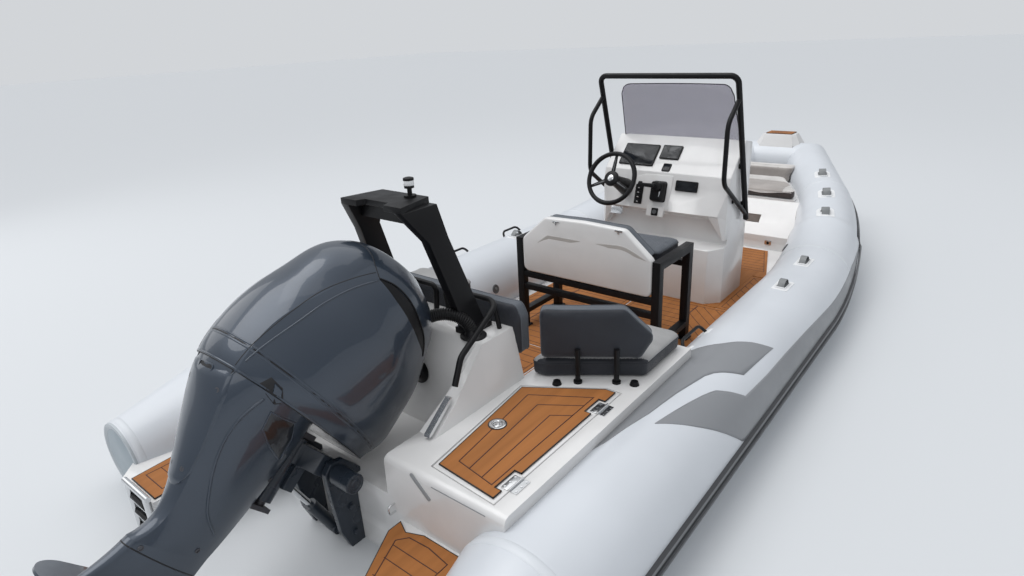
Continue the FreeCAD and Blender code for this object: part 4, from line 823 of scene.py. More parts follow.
chevronPlan = {
    "lift": 0.0013,
    # along the boat, lower edge, upper edge in degrees
    "upper": [
        (0.169, 126.8, 128.2), (0.215, 109.4, 127.2), (0.274, 109.8, 126.0), (0.349, 110.2, 125.5),
        (0.482, 108.2, 124.9), (0.553, 102.8, 125.2), (0.666, 98.6, 126.3), (0.796, 92.3, 127.6),
        (0.984, 87.3, 129.6), (1.186, 79.3, 130.4), (1.237, 75.0, 129.8), (1.277, 69.4, 129.0),
        (1.320, 61.4, 128.0), (1.361, 53.4, 125.0), (1.407, 52.8, 116.9), (1.456, 52.2, 103.3),
        (1.505, 51.6, 90.5), (1.565, 50.8, 80.2), (1.620, 50.0, 68.9), (1.659, 49.3, 59.3), (1.704, 48.4, 49.0),
    ],
    "lower": [
        (0.751, 81.5, 82.2), (0.813, 68.4, 79.8), (0.884, 53.7, 77.0), (0.956, 40.4, 73.8), (1.050, 22.4, 69.2),
        (1.110, 11.0, 65.5), (1.140, 7.6, 63.1), (1.200, 7.6, 52.7), (1.269, 7.6, 39.5), (1.518, 7.6, 36.3),
        (1.778, 7.6, 35.1), (2.083, 7.6, 32.7), (2.481, 7.6, 28.5), (2.890, 7.6, 26.0), (3.200, 7.6, 24.0),
        (3.420, 7.6, 18.0), (3.600, 7.6, 9.0),
    ],
}

addPair("chevrons", joined(*[tubePatch(chevronPlan[word], chevronPlan["lift"]) for word in ("upper", "lower")]),
        "bandFabric")

strakePlan = {
    # turn, radius, lift; between these stations, where the last point dips into the strake
    "ribs": [(5.2, 0.006, 0.012), (-5.2, 0.006, 0.012)],
    "line": (0, 0.0045, 0.0125),
    "stations": (13, -8),
    "dip": 0.004,
}


def strakeRib(plan, turn, radius, lift):
    first, last = plan["stations"]
    path = [onTube(station[0].y, turn, lift) for station in stations[first:last]]
    path.append(onTube(stations[last][0].y, turn, lift - plan["dip"]))
    return pipe(path, radius, 8)


addPair("strakeRibs", joined(*[strakeRib(strakePlan, *rib) for rib in strakePlan["ribs"]]), "strakeRib")
addPair("strakeLine", strakeRib(strakePlan, *strakePlan["line"]), "strakeRubber")

tubeCapPlan = {
    "place": (0.941, -0.425, 0.178),
    # radius and distance out from the end face
    "disc": [(0.163, -0.012), (0.166, 0.0), (0.164, 0.007), (0.156, 0.010), (0.148, 0.0085), (0.142, 0.004)],
    "inner": [(0.142, 0.0035), (0.120, 0.0065), (0.080, 0.0085), (0.040, 0.0095), (0.006, 0.010)],
}
capShape = joined(tinted(turned(tubeCapPlan["inner"], 64), 0), tinted(turned(tubeCapPlan["disc"], 64), 1))
capShape = placed(capShape, facing(tubeCapPlan["place"], (0, -1, 0)))
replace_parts(addPair("tubeEndCap", capShape, ["tubeCap", "capRim"], crease=40)[0], "tube_end_caps")

strapPads = {
    # on the tube's side: along, turn; toward the bow: a point near it
    "square": {"at": [(2.812, 90.6), (2.358, 89.4)], "size": (0.150, 0.088, 0.010, 0.034), "along": (0, 1, 0)},
    "oval": {"at": [(0.599, 4.419, 0.626), (0.742, 3.996, 0.575), (0.827, 3.654, 0.522)],
             "size": (0.160, 0.120, 0.034, 0.040), "along": (-0.30, 1, 0)},
}


def strapPad(wide, tall, round, rise):
    # flange, well, lip and the webbing bar across the well; the well's floor takes the strap's dark grey as painted
    # shade
    flange = plate(wide, tall, 0.003, 0.0015, round)
    outer = roundedOutline(boxed(wide * 0.72, tall * 0.66), round * 0.7, 6)
    inner = roundedOutline(boxed(wide * 0.60, tall * 0.54), round * 0.6, 6)
    lip = ringed((outer, 0.002), (outer, 0.006), (inner, 0.0065), (inner, 0.0032))
    floor = loft([[Vector((p.x * share, p.y * share, height)) for p in inner]
                  for share, height in ((1, 0.0032), (0.2, 0.0034))])
    rows = []
    half = tall * 0.20
    for step in range(13):
        share = step / 12
        x, high = (share - 0.5) * wide * 0.60, 0.004 + rise * math.sin(math.pi * share) ** 0.8
        rows.append([Vector((x, y, high + more)) for y, more in
                     ((-half, 0), (-half * 0.9, 0.002), (half * 0.9, 0.002), (half, 0))])
    return joined(tinted(joined(flange, lip), 0), tinted(joined(floor, loft(rows, caps=False)), 1))


def bentOnto(shape, place, along, tree):
    # lays a flat fitting on a curved surface
    spot, normal = tree.find_nearest(place)[:2]
    side = Vector(along)
    side = (side - normal * side.dot(normal)).normalized()
    up = normal.cross(side)
    verts = []
    for v in shape[0]:
        foot, rise = tree.find_nearest(spot + side * v[0] + up * v[1])[:2]
        verts.append(foot + (rise + normal).normalized() * v[2])
    return (verts,) + tuple(shape[1:])


padShapes = []
for plan in strapPads.values():
    for place in plan["at"]:
        spot = onTube(*place) if len(place) == 2 else place
        padShapes.append(bentOnto(strapPad(*plan["size"]), spot, plan["along"], tubeTree))
addPair("strapPads", joined(*padShapes), ["padWhite", "strapGrey"], crease=35)

valvePlan = {
    "places": [(1.810, 164.0), (3.300, 150.0)],  # along, turn
    "body": [(0.0, 0.003), (0.008, 0.003), (0.010, 0.0015), (0.020, 0.0015), (0.022, 0.004), (0.027, 0.0045),
             (0.030, 0.0025), (0.031, 0.0)],
    "cap": [(0.0005, 0.0075), (0.009, 0.0072), (0.0105, 0.005), (0.0105, 0.002)],
}
valve = joined(tinted(turned(valvePlan["body"], 32), 0), tinted(turned(valvePlan["cap"], 24), 1))
valves = [placed(valve, facing(onTube(*place), onTube(*place, 0.01) - onTube(*place))) for place in valvePlan["places"]]
addPair("inflationValves", joined(*valves), ["greyPlastic", "strapGrey"], crease=35)

handlePads = {
    # along and turn on the starboard tube, then on the port tube's mirror image
    "starboard": [(1.448, 128), (1.672, 128)],
    "port": [(0.972, 52), (1.148, 52), (1.812, 52), (1.988, 52), (2.412, 52), (2.588, 52)],
    "size": (0.062, 0.074, 0.003, 0.0015, 0.014),
}


def padsAt(places):
    return [bentOnto(plate(*handlePads["size"]), onTube(*place), (0, 1, 0), tubeTree) for place in places]


addPiece("handlePads", joined(*padsAt(handlePads["starboard"]), *map(twinOf, padsAt(handlePads["port"]))), "padWhite",
         crease=35)
print("tubes built")

softEdges = {
    # node: edge radius in metres, body, zones with another radius
    "stern_moulding": (0.010, "boat", [((-0.9, -0.02, 0.40), (0.9, 0.03, 0.50), 0.024)]),
    "console": (0.009, "boat", []),
    "bow_locker": (0.012, "boat", []),
    "bow_step": (0.007, "boat", []),
    "arch": (0.004, "boat", []),
    "helm_seat_frame": (0.0035, "boat", []),
    "stern_lid_starboard": (0.003, "starboard_lid", []),
    "stern_lid_port": (0.003, "port_lid", []),
    "clamp_bracket": (0.003, "boat", []),
    "swivel_bracket": (0.003, "swivel", []),
}
for node, (width, body, zones) in softEdges.items():
    softened(node, width, zones, body)
print("edges softened")

motorPlace = Matrix.Translation((0, -0.080, 0.360)) @ Matrix.Rotation(math.radians(-50), 4, "X")
motorTree = surfaceOf("cowl_top", "cowl_lower", "midsection", "gearcase")


def motorRing(rear, front, middle=-0.23, trim=1.0):
    # line round the motor where a sloping plane meets it; heights at the back and the front
    back, long = -0.65, 0.714
    points = []
    fall = (front - rear) / long
    for c, s in around(120):
        far, near = Vector((s * trim, middle + c * trim, 0)), Vector((0, middle, 0))
        far.z, near.z = rear + (far.y - back) * fall, rear + (near.y - back) * fall
        start, end = motorPlace @ far, motorPlace @ near
        spot = motorTree.ray_cast(start, (end - start).normalized())[0]
        if spot is not None:
            points.append(spot)
    return points


def skinPatch(tree, low, high, lift, rows=8, step=0.012):
    # patch between two lines on a surface, each sampled alike
    count = max(2, int(max((Vector(a) - Vector(b)).length for a, b in zip(low, low[1:])) / step))
    lines = []
    for line in (low, high):
        lines.append([Vector(a).lerp(Vector(b), i / count) for a, b in zip(line, line[1:]) for i in range(count)]
                     + [Vector(line[-1])])
    grid = []
    for a, b in zip(*lines):
        row = []
        for index in range(rows + 1):
            spot, normal = tree.find_nearest(a.lerp(b, index / rows))[:2]
            row.append(spot + normal * (lift if 0 < index < rows else -0.0008))
        grid.append(row)
    return openSheet(grid)


seamPlan = {
    # parting line: heights at the back and the front, width, lift
    "lines": [(0.238, 0.137, 0.0055, 0.0005), (0.153, 0.083, 0.005, 0.0005)],
    "beads": [(0.2445, 0.1435, 0.0075, 0.0016), (0.2315, 0.1305, 0.0075, 0.0016), (0.158, 0.088, 0.008, 0.0018)],
    "leg": (-0.405, -0.515, -0.33, 0.6),
}


def seamRibbons(lines):
    return joined(*[ribbon(motorTree, motorRing(rear, front), wide, lift, loop=True)
                    for rear, front, wide, lift in lines])


addPiece("cowlSeamLines", seamRibbons(seamPlan["lines"]), "seamBlack", body="motor")
addPiece("cowlSeamBeads", seamRibbons(seamPlan["beads"]), "cowlPaint", body="motor")

cowlTrim = {
    # black lines of painted shade along the crease low on each side of the hood, from its front corner back
    "creaseTop": [(0.160, 0.200, 1.049), (0.151, 0.101, 1.056), (0.144, -0.007, 1.052), (0.144, -0.115, 1.028),
                  (0.132, -0.214, 0.988), (0.120, -0.285, 0.948), (0.104, -0.350, 0.884)],
    "creaseLow": [(0.179, 0.195, 1.026), (0.170, 0.086, 1.030), (0.168, -0.026, 1.018), (0.164, -0.132, 0.990),
                  (0.148, -0.216, 0.960), (0.133, -0.283, 0.930), (0.106, -0.348, 0.882)],
    # intake behind the front cover
    "intakeOut": [(0.177, 0.202, 1.028), (0.195, 0.249, 0.990), (0.214, 0.289, 0.927), (0.219, 0.319, 0.840),
                  (0.195, 0.355, 0.728), (0.176, 0.358, 0.655)],
    "intakeIn": [(0.179, 0.199, 1.025), (0.216, 0.229, 0.938), (0.226, 0.271, 0.838), (0.210, 0.313, 0.738),
                 (0.182, 0.345, 0.680), (0.175, 0.356, 0.650)],
    "coverLine": [(0.0, 0.243, 1.126), (0.059, 0.240, 1.119), (0.113, 0.229, 1.095), (0.157, 0.208, 1.053),
                  (0.178, 0.200, 1.027)],
    "legLine": [(0.172, -0.298, 0.794), (0.139, -0.362, 0.752), (0.115, -0.416, 0.693), (0.098, -0.461, 0.612),
                (0.087, -0.493, 0.524), (0.079, -0.511, 0.447), (0.064, -0.503, 0.356)],
}


def trimLine(word, wide, lift):
    return ribbon(motorTree, smoothLine(cowlTrim[word]), wide, lift)


creaseWidths = {"creaseTop": 0.0035, "creaseLow": 0.0035, "coverLine": 0.0045}
# black ribbons: painted shade along the two crease lines, and the real joint of the front cover
creaseShadeAndCoverLine = joined(*[trimLine(word, wide, 0.0006) for word, wide in creaseWidths.items()])
addPiece("cowlCreaseShadeAndCoverLine", bothSides(creaseShadeAndCoverLine), "seamBlack", body="motor")
intake = skinPatch(motorTree, cowlTrim["intakeOut"], cowlTrim["intakeIn"], 0.0012)
addPiece("cowlIntakes", bothSides(joined(intake, trimLine("intakeOut", 0.006, 0.0035))), "blackPlastic", body="motor",
         crease=40)
addPiece("cowlCreaseLips", bothSides(trimLine("creaseLow", 0.006, 0.0022)), "cowlPaint", body="motor")

apronPlan = {
    # shield on the back of the leg: height, half width; then its rise and the place of its bolts
    "table": [(0.897, 0.088), (0.882, 0.114), (0.827, 0.113), (0.735, 0.097), (0.664, 0.081), (0.607, 0.062),
              (0.578, 0.040), (0.566, 0.012)],
    "rise": 0.0045,
    "bolts": [(0.085, 0.845), (-0.085, 0.845), (0.034, 0.618), (-0.034, 0.618)],
}


def fromAstern(tree, x, z):
    # the surface as seen from straight behind
    return tree.ray_cast(Vector((x, -1.2, z)), Vector((0, 1, 0)))[:2]


def apronPlate(plan):
    fine = []
    for first, second in zip(plan["table"], plan["table"][1:]):
        runs = max(1, int((first[0] - second[0]) / 0.009))
        fine += [(first[0] + (second[0] - first[0]) * i / runs, first[1] + (second[1] - first[1]) * i / runs)
                 for i in range(runs)]
    fine.append(plan["table"][-1])
    rows = []
    for number, (height, half) in enumerate(fine):
        row = []
        for step in range(25):
            spot, normal = fromAstern(motorTree, half * (step / 12 - 1), height)
            inner = 0 < step < 24 and 0 < number < len(fine) - 1
            row.append(spot + normal * (plan["rise"] if inner else -0.001))
        rows.append(row)
    return openSheet(rows)


apronShape = apronPlate(apronPlan)
addPiece("legApron", apronShape, "cowlPaint", body="motor", crease=45)
apronTree = BVHTree.FromPolygons([v[:] for v in apronShape[0]], apronShape[1])

boltPlan = {
    "profile": [(0.0, 0.0), (0.0085, 0.0), (0.0085, 0.0022), (0.0070, 0.0032), (0.0055, 0.0032), (0.0050, 0.0010),
                (0.0006, 0.0010)],
    "leg": [(0.036, -0.698, 0.438), (0.060, -0.560, 0.330), (0.070, -0.300, 0.455)],  # on both sides
}


def motorBolts(plan):
    spots = [fromAstern(apronTree, *place) for place in apronPlan["bolts"]]
    spots += [motorTree.find_nearest(Vector((x * side, y, z)))[:2] for x, y, z in plan["leg"] for side in (1, -1)]
    return joined(*[placed(turned(plan["profile"], 24), facing(spot, normal)) for spot, normal in spots])


addPiece("motorBolts", motorBolts(boltPlan), "engineMetal", body="motor", crease=35)

outletPlan = {"place": (0.0, -0.372, 0.893), "size": (0.082, 0.030), "round": 0.0145, "lip": 0.004}


def cowlOutlet(plan):
    rim = roundedOutline(boxed(*plan["size"]), plan["round"], 8)
    inner = insetOutline(rim, plan["lip"])
    lip = ringed((rim, 0), (rim, 0.0025), (inner, 0.003), (inner, 0.0008))
    # the black floor is painted shade standing for the hollow of the outlet
    floor = loft([[Vector((p.x, p.y, 0.0008)) for p in inner], [Vector((p.x * 0.3, 0, 0.001)) for p in inner]])
    spot = motorTree.find_nearest(Vector(plan["place"]))[0]
    return bentOnto(joined(tinted(lip, 0), tinted(floor, 1)), spot, (1, 0, 0), motorTree)


addPiece("cowlOutlet", cowlOutlet(outletPlan), ["cowlPaint", "seamBlack"], body="motor", crease=40)


def flush(corners, lift, edge):
    # small flat patch on the motor with a softened rim
    corners = [Vector(c) for c in corners]
    middle = sum(corners, Vector()) / len(corners)
    rings = []
    for share, rise in ((1, -0.0006), (1 - edge, lift), (0.5, lift), (0.06, lift)):
        spots = [motorTree.find_nearest(middle.lerp(p, share))[:2] for p in straightLine(corners, 0.006, loop=True)]
        rings.append([spot + normal * rise for spot, normal in spots])
    return loft(rings)


patchPlan = {
    # recess under the seam, a flat black patch of painted shade, with a small hooked flap; corners, lift, softness of
    # the rim
    "recess": ([(0.162, -0.300, 0.846), (0.178, -0.262, 0.858), (0.193, -0.240, 0.812), (0.192, -0.248, 0.758),
                (0.184, -0.276, 0.765)], 0.0008, 0.06),
    "flap": ([(0.184, -0.258, 0.838), (0.193, -0.243, 0.806), (0.192, -0.252, 0.782), (0.182, -0.272, 0.806)],
             0.0045, 0.16),
    # dark patch of painted shade standing for the hollow in the leg's side, from below the latch down its front
    "panel": ([(0.174, -0.286, 0.742), (0.158, -0.316, 0.690), (0.148, -0.302, 0.610), (0.108, -0.268, 0.530),
               (0.142, -0.222, 0.590), (0.170, -0.214, 0.664)], 0.0010, 0.05),
    "panelLip": (0.006, 0.0026),
}
addPiece("cowlLatches", bothSides(joined(tinted(flush(*patchPlan["flap"]), 0), tinted(flush(*patchPlan["recess"]), 1))),
         ["cowlPaint", "seamBlack"], body="motor", crease=40)
panelLip = ribbon(motorTree, straightLine(patchPlan["panel"][0], 0.01, loop=True), *patchPlan["panelLip"], loop=True)
addPiece("legPanels", bothSides(joined(tinted(flush(*patchPlan["panel"]), 0), tinted(panelLip, 1))),
         ["legShade", "cowlPaint"], body="motor", crease=40)
addPiece("legSideLines", bothSides(trimLine("legLine", 0.010, 0.0030)), "cowlPaint", body="motor")
addPiece("legSeam", ribbon(motorTree, motorRing(*seamPlan["leg"]), 0.005, 0.0006, loop=True), "seamBlack", body="motor")

bracketTrim = {
    "capEnd": (0.2440, -0.080, 0.360),
    "cap": [(0.0, -0.004), (0.0375, -0.004), (0.0375, 0.002), (0.034, 0.0045), (0.029, 0.0045), (0.027, 0.002),
            (0.017, 0.002), (0.015, 0.0055), (0.0125, 0.0065), (0.0006, 0.0065)],
    "nuts": [(0.1318, -0.030, 0.315), (0.1318, -0.040, 0.180), (0.1318, -0.038, 0.060)],  # on both sides
    "washer": [(0.0, 0.0), (0.017, 0.0), (0.017, 0.002), (0.012, 0.002)],
    "head": [(0.0, 0.002), (0.0115, 0.002), (0.0115, 0.009), (0.0095, 0.011), (0.0006, 0.011)],
}


def bracketCaps(plan):
    nut = joined(turned(plan["washer"], 24), turned(plan["head"], 6))
    nuts = [placed(nut, facing((x * side, y, z), (side, 0, 0))) for x, y, z in plan["nuts"] for side in (1, -1)]
    return joined(placed(turned(plan["cap"], 40), facing(plan["capEnd"], (1, 0, 0))), *nuts)


addPiece("bracketCaps", bracketCaps(bracketTrim), "bracketPaint", crease=30)
print("outboard trimmed")

cushionBasis = {
    # sizes are in the cushion's own flat frame; the edge is the softness between face and side
    "edge": 0.010, "shrink": 0.004, "radius": 0.03, "voxel": 0.008, "fill": 0.75, "pressure": 4, "cap": 0.009,
    "flat": -1, "flatBack": 1,  # flat where it rests on something, below or behind
    "welts": [], "seams": [], "weltRadius": 0.0028, "seamRadius": 0.0024, "step": 0.012, "frames": 20, "quality": 4,
}


def swell(piece, plan):
    # blows the piece up a little by cloth pressure, no vertex farther than the cap
    scene = bpy.context.scene
    start = [v.co.copy() for v in piece.data.vertices]
    cloth = piece.modifiers.new("stuffing", "CLOTH")
    cloth.settings.use_pressure = True
    cloth.settings.uniform_pressure_force = plan["pressure"]
    cloth.settings.effector_weights.gravity = 0
    cloth.settings.quality = plan["quality"]
    for number in range(1, plan["frames"] + 1):
        scene.frame_set(number)
    view = bpy.context.evaluated_depsgraph_get()
    swollen = [v.co.copy() for v in piece.evaluated_get(view).data.vertices]
    piece.modifiers.clear()
    scene.frame_set(1)
    for vertex, old, new in zip(piece.data.vertices, start, swollen):
        move = new - old
        if move.length > plan["cap"]:
            move = move.normalized() * plan["cap"]
        vertex.co = old + move


def stuffed(name, node, special, finishNames, place, body="boat"):
    # padded piece standing for a CAD node, with its welts and, if it is a starboard one, its port twin
    plan = {**cushionBasis, **special}
    edge, shrink, thick = plan["edge"], plan["shrink"], plan["thick"]
    rim = insetOutline(roundedOutline(plan["outline"], plan["radius"], 6), shrink)
    low, high = shrink, thick - shrink
    shape = layered(rim, [(edge, low), (edge * 0.3, low + edge * 0.3), (0, low + edge), (0, high - edge),
                          (edge * 0.3, high - edge * 0.3), (edge, high)])
    piece = addPiece(name, shape, finishNames, body)
    remesh = piece.modifiers.new("remesh", "REMESH")
    remesh.mode = "VOXEL"
    remesh.voxel_size = plan["voxel"]
    applyModifiers(piece)
    swell(piece, plan)
    for vertex in piece.data.vertices:
        vertex.co.z = min(max(vertex.co.z, plan["flat"]), plan["flatBack"])
    soft = piece.modifiers.new("soft", "SMOOTH")
    soft.factor = 0.5
    soft.iterations = 3
    fine = piece.modifiers.new("fine", "SUBSURF")
    fine.levels = fine.render_levels = 1
    applyModifiers(piece)
    smoothFaces(piece.data)
    for polygon in piece.data.polygons:
        polygon.material_index = plan["tone"](polygon.center, polygon.normal)
    tree = surfaceOf(piece)
    welts = []
    for height in plan["welts"]:
        outline = roundedOutline(plan["outline"], plan["radius"], 6)
        path = straightLine([Vector((p.x, p.y, height)) for p in outline], plan["step"], loop=True)
        welts.append(loopPipe([tree.find_nearest(p)[0] for p in path], plan["weltRadius"], 8))
    for line in plan["seams"]:
        path = [tree.find_nearest(p)[0] for p in smoothLine(line, plan["step"])]
        welts.append(pipe(path, plan["seamRadius"], 8))
    piece.data.transform(place)
    welt = addPiece(name + "Welt", placed(joined(*welts), place), plan.get("weltFinish", finishNames[-1]), body)
    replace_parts(piece, node)
    if name.endswith("Starboard"):
        other = name.replace("Starboard", "Port")
        mirrored(piece, other)
        mirrored(welt, other + "Welt")


restPlan = {"inner": (0.468, 0.715), "outer": (0.866, 0.971), "bottom": 0.557, "tall": 0.235, "thick": 0.075}
restEdge = 0.014  # from each face to the welt, with the paler side between the welts


def restTone(centre, normal):
    pale = restEdge < centre.z < restPlan["thick"] - restEdge and (normal.y > 0.35 or abs(normal.x) > 0.6)
    return 1 if pale else 0


def sideRest(plan):
    inner, outer = Vector((*plan["inner"], 0)), Vector((*plan["outer"], 0))
    along = (outer - inner).normalized()
    back = Vector((along.y, -along.x, 0))
    wide, tall = (outer - inner).length, plan["tall"]
    outline = [(0.002, 0.002), (wide - 0.052, 0.002), (wide - 0.004, 0.086), (wide - 0.004, 0.116),
               (wide - 0.118, tall - 0.002), (0.002, tall - 0.002)]
    # x along, y up, z from the front face to the rear one
    turn = Matrix((along, Vector((0, 0, 1)), back)).transposed().to_4x4()
    return outline, Matrix.Translation(inner - back * plan["thick"] + Vector((0, 0, plan["bottom"]))) @ turn


restOutline, restPlace = sideRest(restPlan)
restLook = {"thick": restPlan["thick"], "voxel": 0.007, "cap": 0.007, "fill": 0.8, "tone": restTone,
            "welts": [restEdge, restPlan["thick"] - restEdge]}
stuffed("sideBackrestStarboard", "side_backrests",
        {**restLook, "outline": restOutline, "radius": [0.03, 0.03, 0.03, 0.03, 0.05, 0.035]},
        ["vinylDark", "vinylEdge"], restPlace)

centreRestPlan = {
    **restLook,
    "outline": [(-0.400, 0.002), (0.400, 0.002), (0.400, 0.175), (0.372, 0.233), (-0.372, 0.233), (-0.400, 0.175)],
    "radius": [0.03, 0.03, 0.05, 0.04, 0.04, 0.05],
}
upright = Matrix(((1, 0, 0), (0, 0, -1), (0, 1, 0))).to_4x4()  # plane outline stood up, its back facing aft
stuffed("centreBackrest", "backrest_centre", centreRestPlan, ["vinylDark", "vinylEdge"],
        Matrix.Translation((0, 0.775, 0.557)) @ upright)


def seatTone(centre, normal):
    # the pale top starts under the bolster, 30 mm in from the slanting rear edge
    return 1 if centre.z > 0.064 and (centre.y - 0.735) * 0.838 - (centre.x - 0.470) * 0.546 > 0.030 else 0


aftSeatPlan = {
    "outline": [(0.400, 0.735), (0.470, 0.735), (0.835, 0.973), (0.832, 1.296), (0.796, 1.316), (0.434, 1.316),
                (0.400, 1.282)],
    "thick": 0.082, "edge": 0.012, "radius": [0.02, 0.03, 0.03, 0.03, 0.03, 0.03, 0.03], "voxel": 0.009, "cap": 0.010,
    "flat": 0.001, "welts": [0.064], "tone": seatTone, "weltFinish": "vinylDark",
}
stuffed("aftSeatCushionStarboard", "aft_seat_cushions", aftSeatPlan, ["vinylDark", "vinylLight"],
        Matrix.Translation((0, 0, 0.465)))

helmSeatPlan = {
    "outline": [(-0.338, 1.780), (0.478, 1.780), (0.478, 2.053), (-0.338, 2.053)],
    "thick": 0.088, "edge": 0.012, "radius": 0.035, "voxel": 0.009, "cap": 0.010, "flat": 0.001, "welts": [0.070],
    "tone": lambda centre, normal: 1 if centre.z > 0.070 else 0, "weltFinish": "vinylDark",
}
stuffed("helmSeatCushion", "helm_seat_cushion", helmSeatPlan, ["vinylDark", "vinylEdge"],
        Matrix.Translation((0, 0, 0.628)))

helmBackPlan = {
    "outline": [(-0.334, 0.708), (0.474, 0.708), (0.474, 0.716), (0.316, 0.848), (0.070, 0.856), (-0.176, 0.848),
                (-0.334, 0.716)],
    "thick": 0.070, "radius": [0.01, 0.01, 0.02, 0.07, 0.05, 0.07, 0.02], "cap": 0.008, "fill": 0.8,
    "flatBack": 0.069, "welts": [0.016],
    "tone": lambda centre, normal: 1 if centre.z > 0.016 and normal.y > 0.3 else 0,
}
stuffed("helmBackCushion", "helm_back_cushion", helmBackPlan, ["vinylDark", "vinylEdge"],
        Matrix.Translation((0, 1.776, 0)) @ upright)


def wavyEdge(across):
    # height of the dark front band of the bow cushion
    return 0.047 + 0.013 * math.cos(across * 13.5)


def bowTone(centre, normal):
    if centre.y < 4.12 and normal.z < 0.75 and centre.z < wavyEdge(centre.x):
        return 0
    return 2 if centre.z > 0.052 and centre.y < 4.36 and abs(centre.x) < 0.40 else 1


bowSeatPlan = {
    "outline": [(-0.494, 4.066), (0.494, 4.066), (0.494, 4.134), (0.276, 4.584), (-0.276, 4.584), (-0.494, 4.134)],
    "thick": 0.070, "edge": 0.014, "radius": [0.04, 0.04, 0.05, 0.06, 0.06, 0.05], "flat": 0.001, "tone": bowTone,
    "seams": [[(x / 50, 4.060, wavyEdge(x / 50)) for x in range(-24, 25)],
              [(-0.40, 4.085, 0.07), (-0.40, 4.36, 0.07), (0, 4.365, 0.07), (0.40, 4.36, 0.07), (0.40, 4.085, 0.07)]],
    "weltFinish": "vinylPale",
}
stuffed("bowSeatCushion", "bow_seat_cushion", bowSeatPlan, ["vinylBrown", "vinylPale", "vinylTaupe"],
        Matrix.Translation((0, 0, 0.476)), "bow_lid")

bowBackPlan = {
    "outline": [(-0.262, 0.464), (0.262, 0.464), (0.262, 0.520), (0.306, 0.611), (-0.306, 0.611), (-0.262, 0.520)],
    "thick": 0.120, "edge": 0.014, "radius": [0.02, 0.02, 0.03, 0.04, 0.04, 0.03], "welts": [0.100],
    "tone": lambda centre, normal: 1 if centre.y > 0.59 else 0,
}
stuffed("bowBackCushion", "bow_back_cushion", bowBackPlan, ["vinylTaupe", "vinylPale"],
        Matrix.Translation((0, 4.83, 0)) @ upright)
print("cushions stuffed")

deckTop = 0.471  # top of the planked lids

lidInlay = {
    "border": [(0.567, 0.125), (0.736, 0.096), (0.729, 0.720), (0.503, 0.594)],
    "lines": [[(0.622, 0.116), (0.578, 0.557), (0.729, 0.650)], [(0.686, 0.105), (0.660, 0.524), (0.731, 0.569)]],
    "look": (0.0042, 0.0007, deckTop),  # width, height, level
}


def inlaid(border, lines, borderLook, lineLook=None):
    # dark caulk lines: a closed border and the lines inside it
    inner = [flatStrip(line, *(lineLook or borderLook)) for line in lines]
    return joined(flatStrip(border, *borderLook, loop=True), *inner)


latchPlan = {
    # recessed turning ring in its dark-edged seat
    "place": (0.535, 0.367, deckTop), "turn": 0.5,
    "seat": [(0.036, 0.0), (0.036, 0.0016), (0.031, 0.0016), (0.031, 0.0)],
    "cup": [(0.0315, 0.0), (0.0315, 0.0026), (0.0295, 0.0032), (0.0225, 0.0028), (0.0215, 0.0006), (0.0006, 0.0004)],
    "ring": (0.0175, 0.0022, 0.0017),
    "bar": (0.016, 0.030, 0.0030, 0.0008, 0.004),
}


def latchRing(plan):
    size, height, bar = plan["ring"]
    handle = loopPipe([Vector((size * c, size * s, height)) for c, s in around(32)], bar, 8)
    metal = joined(turned(plan["cup"], 48), handle, plate(*plan["bar"]))
    place = Matrix.Translation(plan["place"]) @ Matrix.Rotation(plan["turn"], 4, "Z")
    return placed(joined(tinted(metal, 0), tinted(turned(plan["seat"], 48), 1)), place)


addPair("lidInlay", inlaid(lidInlay["border"], lidInlay["lines"], lidInlay["look"]), "caulk", "starboard_lid")
addPair("lidLatch", latchRing(latchPlan), ["brightSteel", "teakEdge"], "starboard_lid", crease=35)


def borderOf(node, name, body="boat", thick=0.0032, rise=0.0004):
    # thin dark line round the upper edge of a planked pad
    work = bmesh.new()
    work.from_mesh(frame["nodes"][node].data)
    bmesh.ops.remove_doubles(work, verts=work.verts, dist=1e-5)
    top = max(v.co.z for v in work.verts)
    shapes = []
    for edge in work.edges:
        ups = sorted(face.normal.z for face in edge.link_faces)
        level = all(abs(v.co.z - top) < 2e-4 for v in edge.verts)
        if level and len(ups) == 2 and ups[1] > 0.9 and abs(ups[0]) < 0.5:
            first, second = (v.co.copy() for v in edge.verts)
            run = (second - first).normalized()
            side = Vector((-run.y, run.x, 0)) * thick / 2
            low, high = Vector((0, 0, -0.004)), Vector((0, 0, rise))
            shapes.append(loft([[end - side + low, end - side + high, end + side + high, end + side + low]
                                for end in (first - run * thick / 2, second + run * thick / 2)]))
    work.free()
    addPiece(name, joined(*shapes), "teakEdge", body)


borderOf("lid_pad_starboard", "lidEdgeStarboard", "starboard_lid")
borderOf("lid_pad_port", "lidEdgePort", "port_lid")
borderOf("platform_pads", "platformEdges")

platformInlay = {
    "border": [(0.440, -0.086), (0.470, -0.050), (0.560, -0.045), (0.660, -0.060), (0.664, -0.440), (0.520, -0.440),
               (0.516, -0.262)],
    "lines": [[(0.520, -0.380), (0.664, -0.380)], [(0.520, -0.320), (0.664, -0.320)],
              [(0.492, -0.230), (0.662, -0.230)], [(0.466, -0.160), (0.660, -0.160)],
              [(0.448, -0.105), (0.658, -0.105)]],
    "borderLook": (0.004, 0.0007, 0.220), "lineLook": (0.0035, 0.0006, 0.220),
}
addPair("platformInlay", inlaid(**platformInlay), "caulk")

